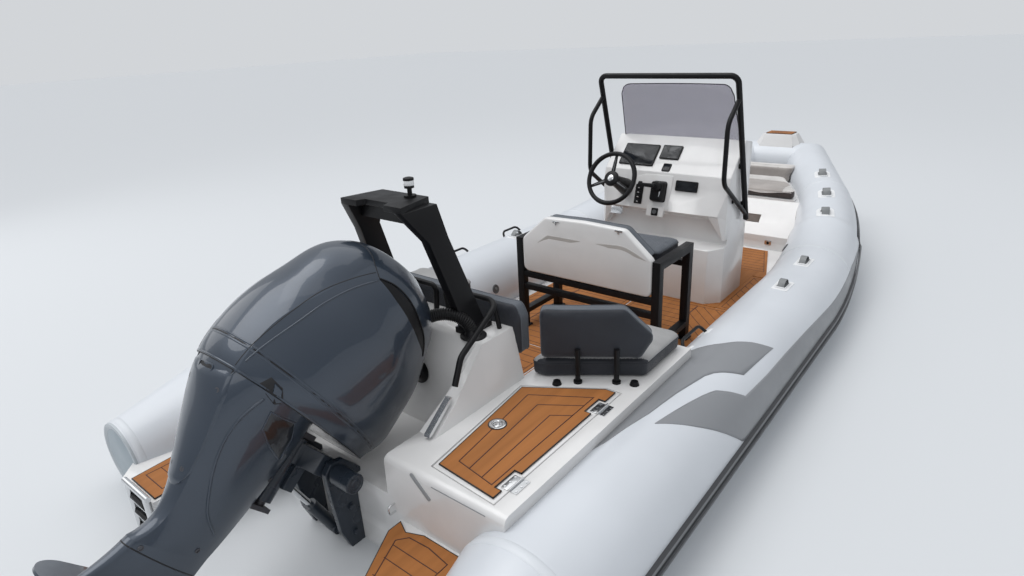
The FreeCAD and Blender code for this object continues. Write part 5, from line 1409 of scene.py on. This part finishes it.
hingeTrim = {
    # leaf on the lid side of each hinge, with countersunk screws on both leaves
    "places": [(0.8015, 0.144), (0.8015, 0.672)],
    "leaf": (0.028, 0.074, 0.0030, 0.0008, 0.003),
    "leafAt": (-0.024, 0.4655),
    "screw": [(0.0, 0.0), (0.0044, 0.0), (0.0044, 0.0007), (0.0016, 0.0003), (0.0004, 0.0003)],
    "screwRows": (-0.027, 0, 0.027),
    "lidScrews": (-0.027, 0.4685), "deckScrews": (0.018, 0.469),
}


def hingeScrews(plan, x, y, row):
    across, height = plan[row]
    return [placed(turned(plan["screw"], 16), (x + across, y + dy, height)) for dy in plan["screwRows"]]


leaves, screws = [], []
for x, y in hingeTrim["places"]:
    across, height = hingeTrim["leafAt"]
    leaves += [placed(plate(*hingeTrim["leaf"]), (x + across, y, height))] + hingeScrews(hingeTrim, x, y, "lidScrews")
    screws += hingeScrews(hingeTrim, x, y, "deckScrews")
addPair("hingeLeaves", joined(*leaves), "brightSteel", "starboard_lid", crease=35)
addPair("hingeScrews", joined(*screws), "brightSteel", crease=35)

slotPlan = {
    # vent slot beside the well and the groove above the platform, both on the transom, laid on as grey plates of
    # painted shade
    "slot": ((0.112, 0.020, 0.0022, 0.0008, 0.0098, 8), (0.500, 0.0, 0.415), -0.72),
    "groove": ((0.235, 0.004, 0.0012, 0.0004, 0.0018, 4), (0.672, 0.0, 0.4405), 0.0),
}
slots = [placed(plate(*size), facing(place, (0, -1, 0)) @ Matrix.Rotation(turn, 4, "Z"))
         for size, place, turn in slotPlan.values()]
addPair("transomSlot", joined(*slots), "slotGrey", crease=40)

hosePlan = {
    # ribbed rigging hose from the boot on the box, over and down into the well's front wall
    "route": [(0.275, 0.548, 0.692), (0.268, 0.541, 0.738), (0.236, 0.510, 0.782), (0.180, 0.466, 0.796),
              (0.116, 0.430, 0.768), (0.064, 0.404, 0.706), (0.040, 0.392, 0.630), (0.034, 0.394, 0.566),
              (0.034, 0.418, 0.514), (0.034, 0.468, 0.490)],
    "radius": 0.024, "rib": 0.0022, "pitch": 0.0085, "length": 0.590,
    "boot": [(0.054, 0.0), (0.054, 0.004), (0.050, 0.007), (0.036, 0.010), (0.031, 0.022), (0.0275, 0.030),
             (0.0262, 0.030), (0.0262, 0.012)],
    "collar": [(0.050, 0.0), (0.050, 0.004), (0.034, 0.008), (0.027, 0.016), (0.0255, 0.016)],
    "bootAt": (0.275, 0.548, 0.689), "collarAt": ((0.034, 0.4585, 0.494), (0, -1, 0.15)),
}


def splineLine(route):
    # points of the smooth line through a route's control points
    curve = bpy.data.curves.new("hoseRoute", "CURVE")
    curve.dimensions = "3D"
    curve.resolution_u = 40
    spline = curve.splines.new("NURBS")
    spline.points.add(len(route) - 1)
    for point, place in zip(spline.points, route):
        point.co = (*place, 1)
    spline.use_endpoint_u = True
    spline.order_u = 3
    holder = newObject("hoseRoute", curve)
    line = bpy.data.meshes.new_from_object(holder.evaluated_get(bpy.context.evaluated_depsgraph_get()))
    points = [v.co.copy() for v in line.vertices]
    bpy.data.objects.remove(holder)
    bpy.data.meshes.remove(line)
    return points


def ribbedHose(plan, line):
    radii, walked = [], 0.0
    for index, point in enumerate(line):
        if index:
            walked += (point - line[index - 1]).length
        radii.append(plan["radius"] + plan["rib"] * math.sin(2 * math.pi * walked / plan["pitch"]))
    return pipe(line, radii, 20, ends=False)


hoseLine = splineLine(hosePlan["route"])
hosePiece = addPiece("riggingHose", ribbedHose(hosePlan, hoseLine), "blackPlastic")
addPiece("hoseBoot", joined(placed(turned(hosePlan["boot"], 40), hosePlan["bootAt"]),
                            placed(turned(hosePlan["collar"], 36), facing(*hosePlan["collarAt"]))),
         "blackPlastic", crease=40)
print("stern trimmed")


def dashPanel(low, high):
    # matrix with x to starboard, y up the panel and z out of it
    low, high = Vector(low), Vector(high)
    rise = (high - low).normalized()
    out = Vector((1, 0, 0)).cross(rise)
    return Matrix.Translation(low) @ Matrix(((1, 0, 0), rise, out)).transposed().to_4x4()


lowerDash = dashPanel((0.060, 2.598, 0.692), (0.060, 2.662, 0.925))
upperDash = dashPanel((0.060, 2.662, 0.925), (0.060, 2.872, 1.124))


def at(place, x, y, z=0.0):
    return place @ Matrix.Translation((x, y, z))


dashItems = {
    # across, up the panel, width, height, thickness
    "chart": (-0.225, 0.121, 0.248, 0.168, 0.012),
    "radio": (-0.010, 0.155, 0.135, 0.107, 0.012),
    "gauge": (0.001, 0.038, 0.056, 0.060, 0.008),
    "panel": (0.165, 0.169, 0.148, 0.066, 0.010),
    "switches": (-0.155, 0.088, 0.054, 0.128, 0.012),
    "socket": (-0.020, -0.014, 0.046, 0.050, 0.020),
    "borders": {"chart": (upperDash, 0.008), "radio": (upperDash, 0.006), "gauge": (upperDash, 0.006),
                "panel": (lowerDash, 0.007)},
    # small things, as width, height, thickness, edge, corner; the rockers lean back a little
    "key": (0.013, 0.003, 0.0005, 0.0002, 0.001),
    "radioKey": (0.02, 0.003, 0.0005, 0.0002, 0.001),
    "rocker": (0.034, 0.022, 0.006, 0.003, 0.003), "rockerGap": 0.030, "rockerLean": 0.14,
    "mark": (0.012, 0.005, 0.0006, 0.0002, 0.001),
    "knob": [(0, 0), (0.005, 0), (0.005, 0.003), (0.0035, 0.004), (0.0004, 0.004)],
    "ring": [(0.014, 0), (0.014, 0.002), (0.011, 0.0025), (0.010, 0.0005), (0.0004, 0.0005)],
}


def screenUnit(wide, tall, thick, border):
    # bezel with a softened lip and a glass face let into it
    rim = roundedOutline(boxed(wide - 0.006, tall - 0.006), 0.008)
    inner = roundedOutline(boxed(wide - border * 2, tall - border * 2), 0.004)
    lip = ringed((rim, thick - 0.0012), (rim, thick), (inner, thick), (inner, thick - 0.0009))
    face = loft([[Vector((p.x * share, p.y * share, thick - 0.0008)) for p in inner] for share in (1, 0.2)])
    return joined(tinted(joined(plate(wide, tall, thick - 0.001, 0.003, 0.009), lip), 0), tinted(face, 1))


def buildDash(plan):
    # finish numbers: black plastic, glass, white, grey
    shapes = []

    def put(shape, number, panel, x, y, z=0.0, lean=0.0):
        place = at(panel, x, y, z) @ Matrix.Rotation(lean, 4, "X")
        shapes.append(placed(tinted(shape, number), place))

    for word, (panel, border) in plan["borders"].items():
        x, y, *size = plan[word]
        shapes.append(placed(screenUnit(*size, border), at(panel, x, y)))
    x, y, wide, tall, thick = plan["chart"]
    for step in range(-2, 3):
        # row of keys under the large screen
        put(plate(*plan["key"]), 3, upperDash, x + step * 0.025, y - tall / 2 + 0.0045, thick)
    x, y, wide, tall, thick = plan["radio"]
    put(plate(*plan["radioKey"]), 3, upperDash, x, y - 0.047, thick)
    x, y, wide, tall, thick = plan["switches"]
    put(plate(wide, tall, thick, 0.003, 0.006), 0, lowerDash, x, y)
    for step in (1.5, 0.5, -0.5, -1.5):
        level = y + step * plan["rockerGap"]
        put(plate(*plan["rocker"]), 0, lowerDash, x, level, thick, plan["rockerLean"])
        put(plate(*plan["mark"]), 2, lowerDash, x, level - 0.004, thick + 0.0062, plan["rockerLean"])
    x, y, wide, tall, thick = plan["panel"]
    for dx in (-0.06, 0.06):
        put(turned(plan["knob"], 16), 0, lowerDash, x + dx, y, thick)
    x, y, wide, tall, thick = plan["socket"]
    put(plate(wide, tall, thick, 0.003, 0.006), 0, lowerDash, x, y)
    put(turned(plan["ring"], 28), 3, lowerDash, x, y, thick)
    return joined(*shapes)


dashPiece = addPiece("dashUnits", buildDash(dashItems), ["blackPlastic", "screenGlass", "whiteLens", "greyPlastic"],
                     crease=35)
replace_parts(dashPiece, "dash_panels")

throttlePlan = {
    "place": (-0.014, 0.118), "pivot": (-0.014, 0.150), "lever": (-0.066, 0.150), "lift": 0.092,
    "body": (0.092, 0.128, 0.050, 0.014, 0.020, 7),
    "foot": (0.100, 0.136, 0.006, 0.003, 0.022, 7),
    "hub": [(0.031, 0.040), (0.031, 0.070), (0.028, 0.080), (0.020, 0.083), (0.0006, 0.083)],
    "neck": [(0.013, 0.080), (0.013, 0.094)],
    "arm": ([(-0.056, -0.011), (0.056, -0.014), (0.062, 0.014), (-0.056, 0.011)], 0.022, 0.007, 0.010),
    "bright": ([(-0.003, -0.032), (0.004, -0.030), (0.006, 0.004), (-0.002, 0.006)], 0.0012, 0.0004, 0.002),
}


def buildThrottle(plan):
    def sit(shape, word, z=0.0):
        return placed(shape, at(lowerDash, *plan[word], z))

    grip = []
    for step in range(9):
        share = step / 8
        size = 0.006 + 0.0085 * math.sin(math.pi * (0.12 + 0.80 * share)) ** 0.6
        grip.append([Vector((-0.046 + size * c * 1.15, -0.020 + share * 0.040, size * s)) for c, s in around(24)])
    dark = joined(sit(plate(*plan["body"]), "place"), sit(plate(*plan["foot"]), "place"),
                  sit(turned(plan["hub"], 40), "pivot"), sit(slab(*plan["arm"]), "lever", plan["lift"] - 0.011),
                  sit(loft(grip), "lever", plan["lift"]), sit(turned(plan["neck"], 24), "pivot"))
    x, y = plan["place"]
    bright = placed(slab(*plan["bright"]), at(lowerDash, x + 0.022, y - 0.004, 0.050))
    return joined(tinted(dark, 0), tinted(bright, 1))


throttlePiece = addPiece("throttleLever", buildThrottle(throttlePlan), ["blackPlastic", "brightSteel"], crease=40)
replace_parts(throttlePiece, "throttle")

wheelPlan = {
    "place": (-0.201, 2.438, 0.907), "tilt": 64, "rim": 0.162, "bar": 0.0145,
    "grips": (30, 150, 270), "gripSweep": 48, "gripRise": 0.0009,
    "spokes": (90, 205, 335),
    "spoke": ([(0.026, -0.015), (0.156, -0.009), (0.156, 0.009), (0.026, 0.015)], 0.005, 0.0015, 0.003),
    "groove": ([(0.050, -0.004), (0.128, -0.0022), (0.128, 0.0022), (0.050, 0.004)], 0.0012, 0.0004, 0.002),
    "hub": [(0.036, -0.026), (0.050, -0.008), (0.050, 0.002), (0.044, 0.008), (0.021, 0.011)],
    "cap": [(0.0205, 0.0085), (0.0205, 0.0120), (0.0180, 0.0140), (0.0006, 0.0148)],
    "bolt": [(0, 0), (0.0028, 0), (0.0028, 0.0016), (0.0004, 0.0018)], "boltRing": (0.0262, 0.0078),
}


def buildWheel(plan):
    size, bar = plan["rim"], plan["bar"]
    shapes = [tinted(loopPipe([Vector((size * c, size * s, 0)) for c, s in around(96)], bar, 16), 0)]
    for turn in plan["grips"]:
        # bound grips part the way round
        part = []
        for step in range(15):
            angle = math.radians(turn - plan["gripSweep"] / 2 + step * plan["gripSweep"] / 14)
            part.append(Vector((size * math.cos(angle), size * math.sin(angle), 0)))
        shapes.append(tinted(pipe(part, bar + plan["gripRise"], 16, ends=False), 0))
    for turn in plan["spokes"]:
        aim = Matrix.Rotation(math.radians(turn), 4, "Z")
        shapes.append(placed(tinted(slab(*plan["spoke"]), 0), aim @ Matrix.Translation((0, 0, -0.006))))
        shapes.append(placed(tinted(slab(*plan["groove"]), 2), aim @ Matrix.Translation((0, 0, -0.0012))))
    shapes += [tinted(turned(plan["hub"], 48), 0), tinted(turned(plan["cap"], 48), 1)]
    ring, height = plan["boltRing"]
    for index in range(6):
        angle = math.radians(30 + 60 * index)
        spot = (ring * math.cos(angle), ring * math.sin(angle), height)
        shapes.append(placed(tinted(turned(plan["bolt"], 12), 1), spot))
    tilt = Matrix.Rotation(math.radians(plan["tilt"]), 4, "X")
    return placed(joined(*shapes), Matrix.Translation(plan["place"]) @ tilt)


wheelPiece = addPiece("steeringWheel", buildWheel(wheelPlan), ["blackPlastic", "brightSteel", "greyPlastic"],
                      body="wheel", crease=40)
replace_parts(wheelPiece, "steering_wheel")

consoleMiddle = 0.060  # the console stands this far to starboard
consoleTrim = {
    # bare plate under the wheel with its two screws, and the raised panel round the controls
    "plate": (0.087, 0.048, 0.0022, 0.0006, 0.003), "plateAt": (-0.304, -0.035), "screwsAt": 0.036,
    "screw": [(0, 0), (0.0030, 0), (0.0030, 0.0012), (0.0004, 0.0014)],
    "raised": ([(-0.190, -0.002), (0.060, -0.002), (0.068, 0.226), (-0.130, 0.222), (-0.196, 0.200)], 0.0035, 0.0025,
               0.012),
    "disc": [(0, -0.002), (0.017, -0.002), (0.017, 0.003), (0.0145, 0.0045), (0.009, 0.0045)],
    "discs": [(0.498, 2.787, 0.980), (0.498, 2.871, 0.725), (0.498, 2.716, 0.776)],
}


def consolePlate(plan):
    x, y = plan["plateAt"]
    screws = [placed(turned(plan["screw"], 12), at(lowerDash, x + dx, y, plan["plate"][2]))
              for dx in (-plan["screwsAt"], plan["screwsAt"])]
    return joined(placed(plate(*plan["plate"]), at(lowerDash, x, y)), *screws)


def frameFlanges(plan):
    disc = turned(plan["disc"], 28)
    return joined(*[placed(disc, facing((middle, y, z), (side, 0, 0))) for x, y, z in plan["discs"]
                    for middle, side in ((x, 1), (2 * consoleMiddle - x, -1))])


addPiece("consolePlate", consolePlate(consoleTrim), "brightSteel", crease=35)
addPiece("consoleEmboss", placed(slab(*consoleTrim["raised"]), at(lowerDash, 0, 0)), "gelcoat", crease=50)
addPiece("frameFlanges", frameFlanges(consoleTrim), "blackCoat", crease=35)

glassPlan = {
    # half width, place along the boat, sweep and height, at the foot and at the top
    "foot": (0.402, 2.968, 0.090, 1.094), "top": (0.372, 2.800, 0.060, 1.462),
    "corner": 0.16, "cornerDrop": 0.17, "thick": 0.005, "edge": 0.0030, "gasket": 0.007, "gasketUp": 0.012,
}


def onGlass(plan, across, up):
    start, end = (Vector((consoleMiddle + wide * across, along - sweep * across ** 2, height))
                  for wide, along, sweep, height in (plan["foot"], plan["top"]))
    return start.lerp(end, up)


def buildGlass(plan):
    rows, edge = [], []
    for column in range(49):
        across = column / 24 - 1
        near = max(0, abs(across) - (1 - plan["corner"])) / plan["corner"]
        top = 1 - plan["cornerDrop"] * (1 - math.sqrt(max(0, 1 - near ** 2)))
        rows.append([onGlass(plan, across, top * step / 16) for step in range(17)])
        edge.append(onGlass(plan, across, top))
    shoulder = 1 - plan["cornerDrop"]
    edge = [onGlass(plan, -1, shoulder * step / 12) for step in range(12)] + edge
    edge += [onGlass(plan, 1, shoulder * step / 12) for step in range(11, -1, -1)]
    return openSheet(rows), edge


glassShape, glassEdge = buildGlass(glassPlan)
glassPiece = addPiece("windshieldGlass", glassShape, "smokedGlass")
glassPiece.modifiers.new("solid", "SOLIDIFY").thickness = glassPlan["thick"]
applyModifiers(glassPiece)
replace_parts(glassPiece, "windshield")
addPiece("windshieldEdge", pipe(glassEdge, glassPlan["edge"], 10), "blackPlastic")
footLine = [onGlass(glassPlan, step / 20 - 1, glassPlan["gasketUp"]) for step in range(41)]
addPiece("windshieldGasket", pipe(footLine, glassPlan["gasket"], 10), "blackPlastic")

cheekPlan = [
    # plan corners of the filled ends of the recess below the dash, at its foot and at its top
    (0.540, [(0.482, 2.630), (0.484, 2.632), (0.4955, 2.643), (0.4955, 2.682), (0.476, 2.682)]),
    (0.688, [(0.392, 2.600), (0.454, 2.600), (0.4955, 2.643), (0.4955, 2.682), (0.370, 2.682)]),
]
cheek = loft([[Vector((x, y, height)) for x, y in corners] for height, corners in cheekPlan])
addPiece("consoleCheeks", bothSides(cheek, consoleMiddle), "gelcoat", crease=20)
print("console fitted")

shellPlan = {
    "outline": [(-0.348, 0.492), (0.488, 0.492), (0.488, 0.696), (0.322, 0.838), (0.070, 0.846), (-0.182, 0.838),
                (-0.348, 0.696)],
    "radius": [0.05, 0.05, 0.05, 0.05, 0.08, 0.05, 0.05],
    "thick": 0.034, "edge": 0.012, "front": 1.706, "back": 1.672,
    "ledges": [[(-0.240, 0.680), (-0.172, 0.729), (-0.138, 0.735), (0.057, 0.735)],
               [(0.150, 0.737), (0.218, 0.744), (0.330, 0.744), (0.457, 0.692)]],
    "ledge": (0.022, 0.0016),
    # catches: place, then two plates and how far each sits below it
    "catches": [(-0.105, 0.823), (0.291, 0.829)],
    "catch": [((0.046, 0.009, 0.0030, 0.001, 0.003), 0.0), ((0.012, 0.020, 0.0045, 0.001, 0.003), 0.006)],
}


def facingAft(y, x=0.0, z=0.0):
    return facing((x, y, z), (0, -1, 0))


def ledge(path, wide, deep):
    # step pressed into the shell: a soft slope with a sharper upper edge
    rows = []
    fine = smoothLine([(x, y, 0) for x, y in path])
    total = len(fine)
    for index, point in enumerate(fine):
        run = fine[min(index + 1, total - 1)] - fine[max(index - 1, 0)]
        side = Vector((-run.y, run.x, 0)).normalized()
        fade = min(1, index / 6, (total - 1 - index) / 6)
        section = ((0.15, -0.0008), (0.1 * fade, deep * fade), (-0.55 * fade, deep * 0.75 * fade), (-fade, -0.0008))
        rows.append([point + side * wide * across + Vector((0, 0, up)) for across, up in section])
    return openSheet(rows)


shellBody = slab(shellPlan["outline"], shellPlan["thick"], shellPlan["edge"], shellPlan["radius"], 8)
shellPiece = addPiece("helmBackShell", placed(shellBody, facingAft(shellPlan["front"])), "gelcoat", crease=60)
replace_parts(shellPiece, "helm_back_shell")
ledges = joined(*[ledge(path, *shellPlan["ledge"]) for path in shellPlan["ledges"]])
# the ledges take the darker gelcoat as painted shade along the steps
addPiece("helmShellLedges", placed(ledges, facingAft(shellPlan["back"])), "shadeGelcoat", crease=40)
catches = [placed(plate(*size), facingAft(shellPlan["back"], x, z - drop))
           for x, z in shellPlan["catches"] for size, drop in shellPlan["catch"]]
addPiece("helmShellCatches", joined(*catches), "brightSteel", crease=35)

helmFeet = {
    "across": [-0.370, 0.510], "along": [1.694, 2.053], "level": 0.121,
    "foot": (0.074, 0.074, 0.005, 0.0012, 0.010),
    "head": [(0, 0), (0.0055, 0), (0.0055, 0.003), (0.004, 0.0042), (0.0004, 0.0042)], "headsAt": (-0.028, 0.028),
}


def buildFeet(plan):
    shapes = []
    for x in plan["across"]:
        for y in plan["along"]:
            shapes.append(placed(plate(*plan["foot"]), (x, y, plan["level"])))
            shapes += [placed(turned(plan["head"], 12), (x + dx, y + dy, plan["level"] + plan["foot"][2]))
                       for dx in plan["headsAt"] for dy in plan["headsAt"]]
    return joined(*shapes)


addPiece("helmSeatFeet", buildFeet(helmFeet), "blackCoat", crease=35)

solePlan = {
    "line": (0.004, 0.0006, 0.121),  # width, height, level
    # convex areas of plank lines: corners, direction of the planks in degrees from athwart, spacing
    "areas": {
        "aisle": ([(0.030, 0.790), (0.352, 0.790), (0.352, 1.462), (0.030, 1.462)], 0, 0.062),
        "aftSide": ([(0.392, 1.356), (0.600, 1.356), (0.600, 1.462), (0.392, 1.462)], 0, 0.062),
        "middle": ([(0.030, 1.530), (0.398, 1.530), (0.398, 2.514), (0.030, 2.514)], 0, 0.062),
        "middleSide": ([(0.402, 1.530), (0.602, 1.530), (0.602, 2.514), (0.402, 2.514)], -47, 0.058),
        "beside": ([(0.530, 2.580), (0.602, 2.580), (0.602, 3.172), (0.530, 3.172)], -47, 0.058),
        "bow": ([(0.030, 3.330), (0.545, 3.330), (0.402, 3.772), (0.030, 3.772)], 0, 0.058),
    },
    "portBeside": [(-0.410, 2.580), (-0.602, 2.580), (-0.602, 3.172), (-0.410, 3.172)],  # wider on this side
}


def clipped(corners, point, direction):
    # stretch of a line inside a convex area
    low, high = -9.0, 9.0
    middle = sum((Vector(c) for c in corners), Vector((0, 0))) / len(corners)
    for a, b in zip(corners, corners[1:] + corners[:1]):
        a, b = Vector(a), Vector(b)
        normal = Vector((-(b - a).y, (b - a).x))
        if normal.dot(middle - a) < 0:
            normal = -normal
        speed, gap = normal.dot(direction), normal.dot(point - a)
        if abs(speed) < 1e-9:
            if gap < 0:
                return None
        elif speed > 0:
            low = max(low, -gap / speed)
        else:
            high = min(high, -gap / speed)
    return None if high - low < 0.02 else (point + direction * low, point + direction * high)


def soleLines(plan):
    shapes = []
    for word, (corners, turn, gap) in plan["areas"].items():
        for side in (1, -1):
            ring = [(x * side, y) for x, y in corners]
            if word == "beside" and side < 0:
                ring = plan["portBeside"]
            shapes.append(flatStrip(ring, *plan["line"], loop=True))
            angle = math.radians(turn * side)
            direction = Vector((math.cos(angle), math.sin(angle)))
            across = Vector((-direction.y, direction.x))
            middle = sum((Vector(c) for c in ring), Vector((0, 0))) / len(ring)
            runs = [clipped(ring, middle + across * step * gap, direction) for step in range(-16, 17)]
            shapes += [flatStrip(run, *plan["line"]) for run in runs if run]
    return joined(*shapes)


addPiece("solePlankLines", soleLines(solePlan), "caulk")

infillPlan = {
    # plan of the cut in the panels round the console, aft right corner first, and of the console's foot
    "cut": [(0.504, 2.552), (0.504, 2.642), (0.504, 2.985), (0.504, 3.298), (-0.384, 3.298), (-0.384, 2.985),
            (-0.384, 2.642), (-0.384, 2.552)],
    "foot": [(0.414, 2.560), (0.496, 2.642), (0.496, 2.985), (0.360, 3.290), (-0.240, 3.290), (-0.376, 2.985),
             (-0.376, 2.642), (-0.294, 2.560)],
    "low": 0.1155, "top": 0.1208,
}
infillRings = [[Vector((x, y, infillPlan[height])) for x, y in infillPlan[word]] for word, height in
               (("cut", "low"), ("cut", "top"), ("foot", "top"), ("foot", "low"), ("cut", "low"))]
addPiece("soleInfill", loft(infillRings, caps=False), "sternTeak", crease=30)

nichePlan = {"place": (0.180, 3.994, 0.238), "step": (0.206, 0.118, 0.006, 0.0012, 0.016), "edge": (0.0055, 0.0020)}
addPiece("nicheStep", placed(plate(*nichePlan["step"]), nichePlan["place"]), "sternTeak", crease=40)
rise, bar = nichePlan["edge"]
nicheRim = roundedOutline(boxed(*nichePlan["step"][:2]), nichePlan["step"][4])
addPiece("nicheStepEdge", placed(loopPipe([Vector((p.x, p.y, rise)) for p in nicheRim], bar, 8), nichePlan["place"]),
         "teakEdge")

slamPlan = {
    "place": (0.398, 3.850, 0.172), "plate": (0.052, 0.040, 0.004, 0.0012, 0.006),
    "cup": [(0.014, 0.004), (0.014, 0.0055), (0.011, 0.006), (0.010, 0.003), (0.0004, 0.003)],
    "pull": (0.012, 0.026, 0.0075, 0.0015, 0.004),
}
slamLatch = joined(tinted(joined(plate(*slamPlan["plate"]), turned(slamPlan["cup"], 24)), 0),
                   tinted(plate(*slamPlan["pull"]), 1))
addPiece("lockerLatch", placed(slamLatch, facing(slamPlan["place"], (0, -1, 0))), ["brightSteel", "blackPlastic"],
         crease=35)

ovalPlan = {"middle": (0.0, 5.257), "size": (0.088, 0.052), "shares": (1.0, 0.62), "line": (0.004, 0.0006, 0.812),
            "mark": [(-0.02, -0.045), (0.012, 0), (-0.02, 0.045)]}


def ovalInlay(plan):
    x, y = plan["middle"]
    wide, deep = plan["size"]
    rings = [[(x + wide * share * c, y + deep * share * s) for c, s in around(48)] for share in plan["shares"]]
    mark = flatStrip([(x + dx, y + dy) for dx, dy in plan["mark"]], *plan["line"])
    return joined(*[flatStrip(ring, *plan["line"], loop=True) for ring in rings], mark)


addPiece("bowStepInlay", ovalInlay(ovalPlan), "caulk")
borderOf("bow_step_pad", "bowStepEdge")

lightPlan = {
    "place": (0.070, 0.477, 1.284),
    "lens": [(0.0192, 0.010), (0.0200, 0.012), (0.0200, 0.027), (0.0192, 0.029)],
    "cap": [(0.0205, 0.029), (0.0210, 0.031), (0.0200, 0.0375), (0.014, 0.0398), (0.0006, 0.0404)],
}
sternLens = joined(tinted(turned(lightPlan["lens"], 32), 0), tinted(turned(lightPlan["cap"], 32), 1))
addPiece("sternLens", placed(sternLens, lightPlan["place"]), ["whiteLens", "blackPlastic"], crease=35)

archFeet = {
    "washer": [(0, 0), (0.010, 0), (0.010, 0.0014), (0.006, 0.0014)],
    "head": [(0, 0), (0.0075, 0), (0.0075, 0.0035), (0.0055, 0.005), (0.0004, 0.005)],
    "across": (0.232 - 0.031, 0.232 + 0.031, -0.232 - 0.031, -0.232 + 0.031), "along": (0.545, 0.655), "level": 0.715,
}
archBolt = joined(turned(archFeet["washer"], 20), turned(archFeet["head"], 6))
archBolts = [placed(archBolt, (x, y, archFeet["level"])) for x in archFeet["across"] for y in archFeet["along"]]
addPiece("archBolts", joined(*archBolts), "brightSteel", crease=35)

ladderPads = {"left": -0.640, "right": -0.510, "levels": [0.033, 0.105, 0.177], "along": -0.512, "radius": 0.0112}


def ladderTread(plan, level):
    path = straightLine([(plan[side], plan["along"], level) for side in ("left", "right")], 0.02)
    return pipe(path, plan["radius"], 14, ends=False)


addPiece("ladderTreads", joined(*[ladderTread(ladderPads, level) for level in ladderPads["levels"]]), "blackPlastic",
         body="ladder")
print("seats, sole and bow trimmed")
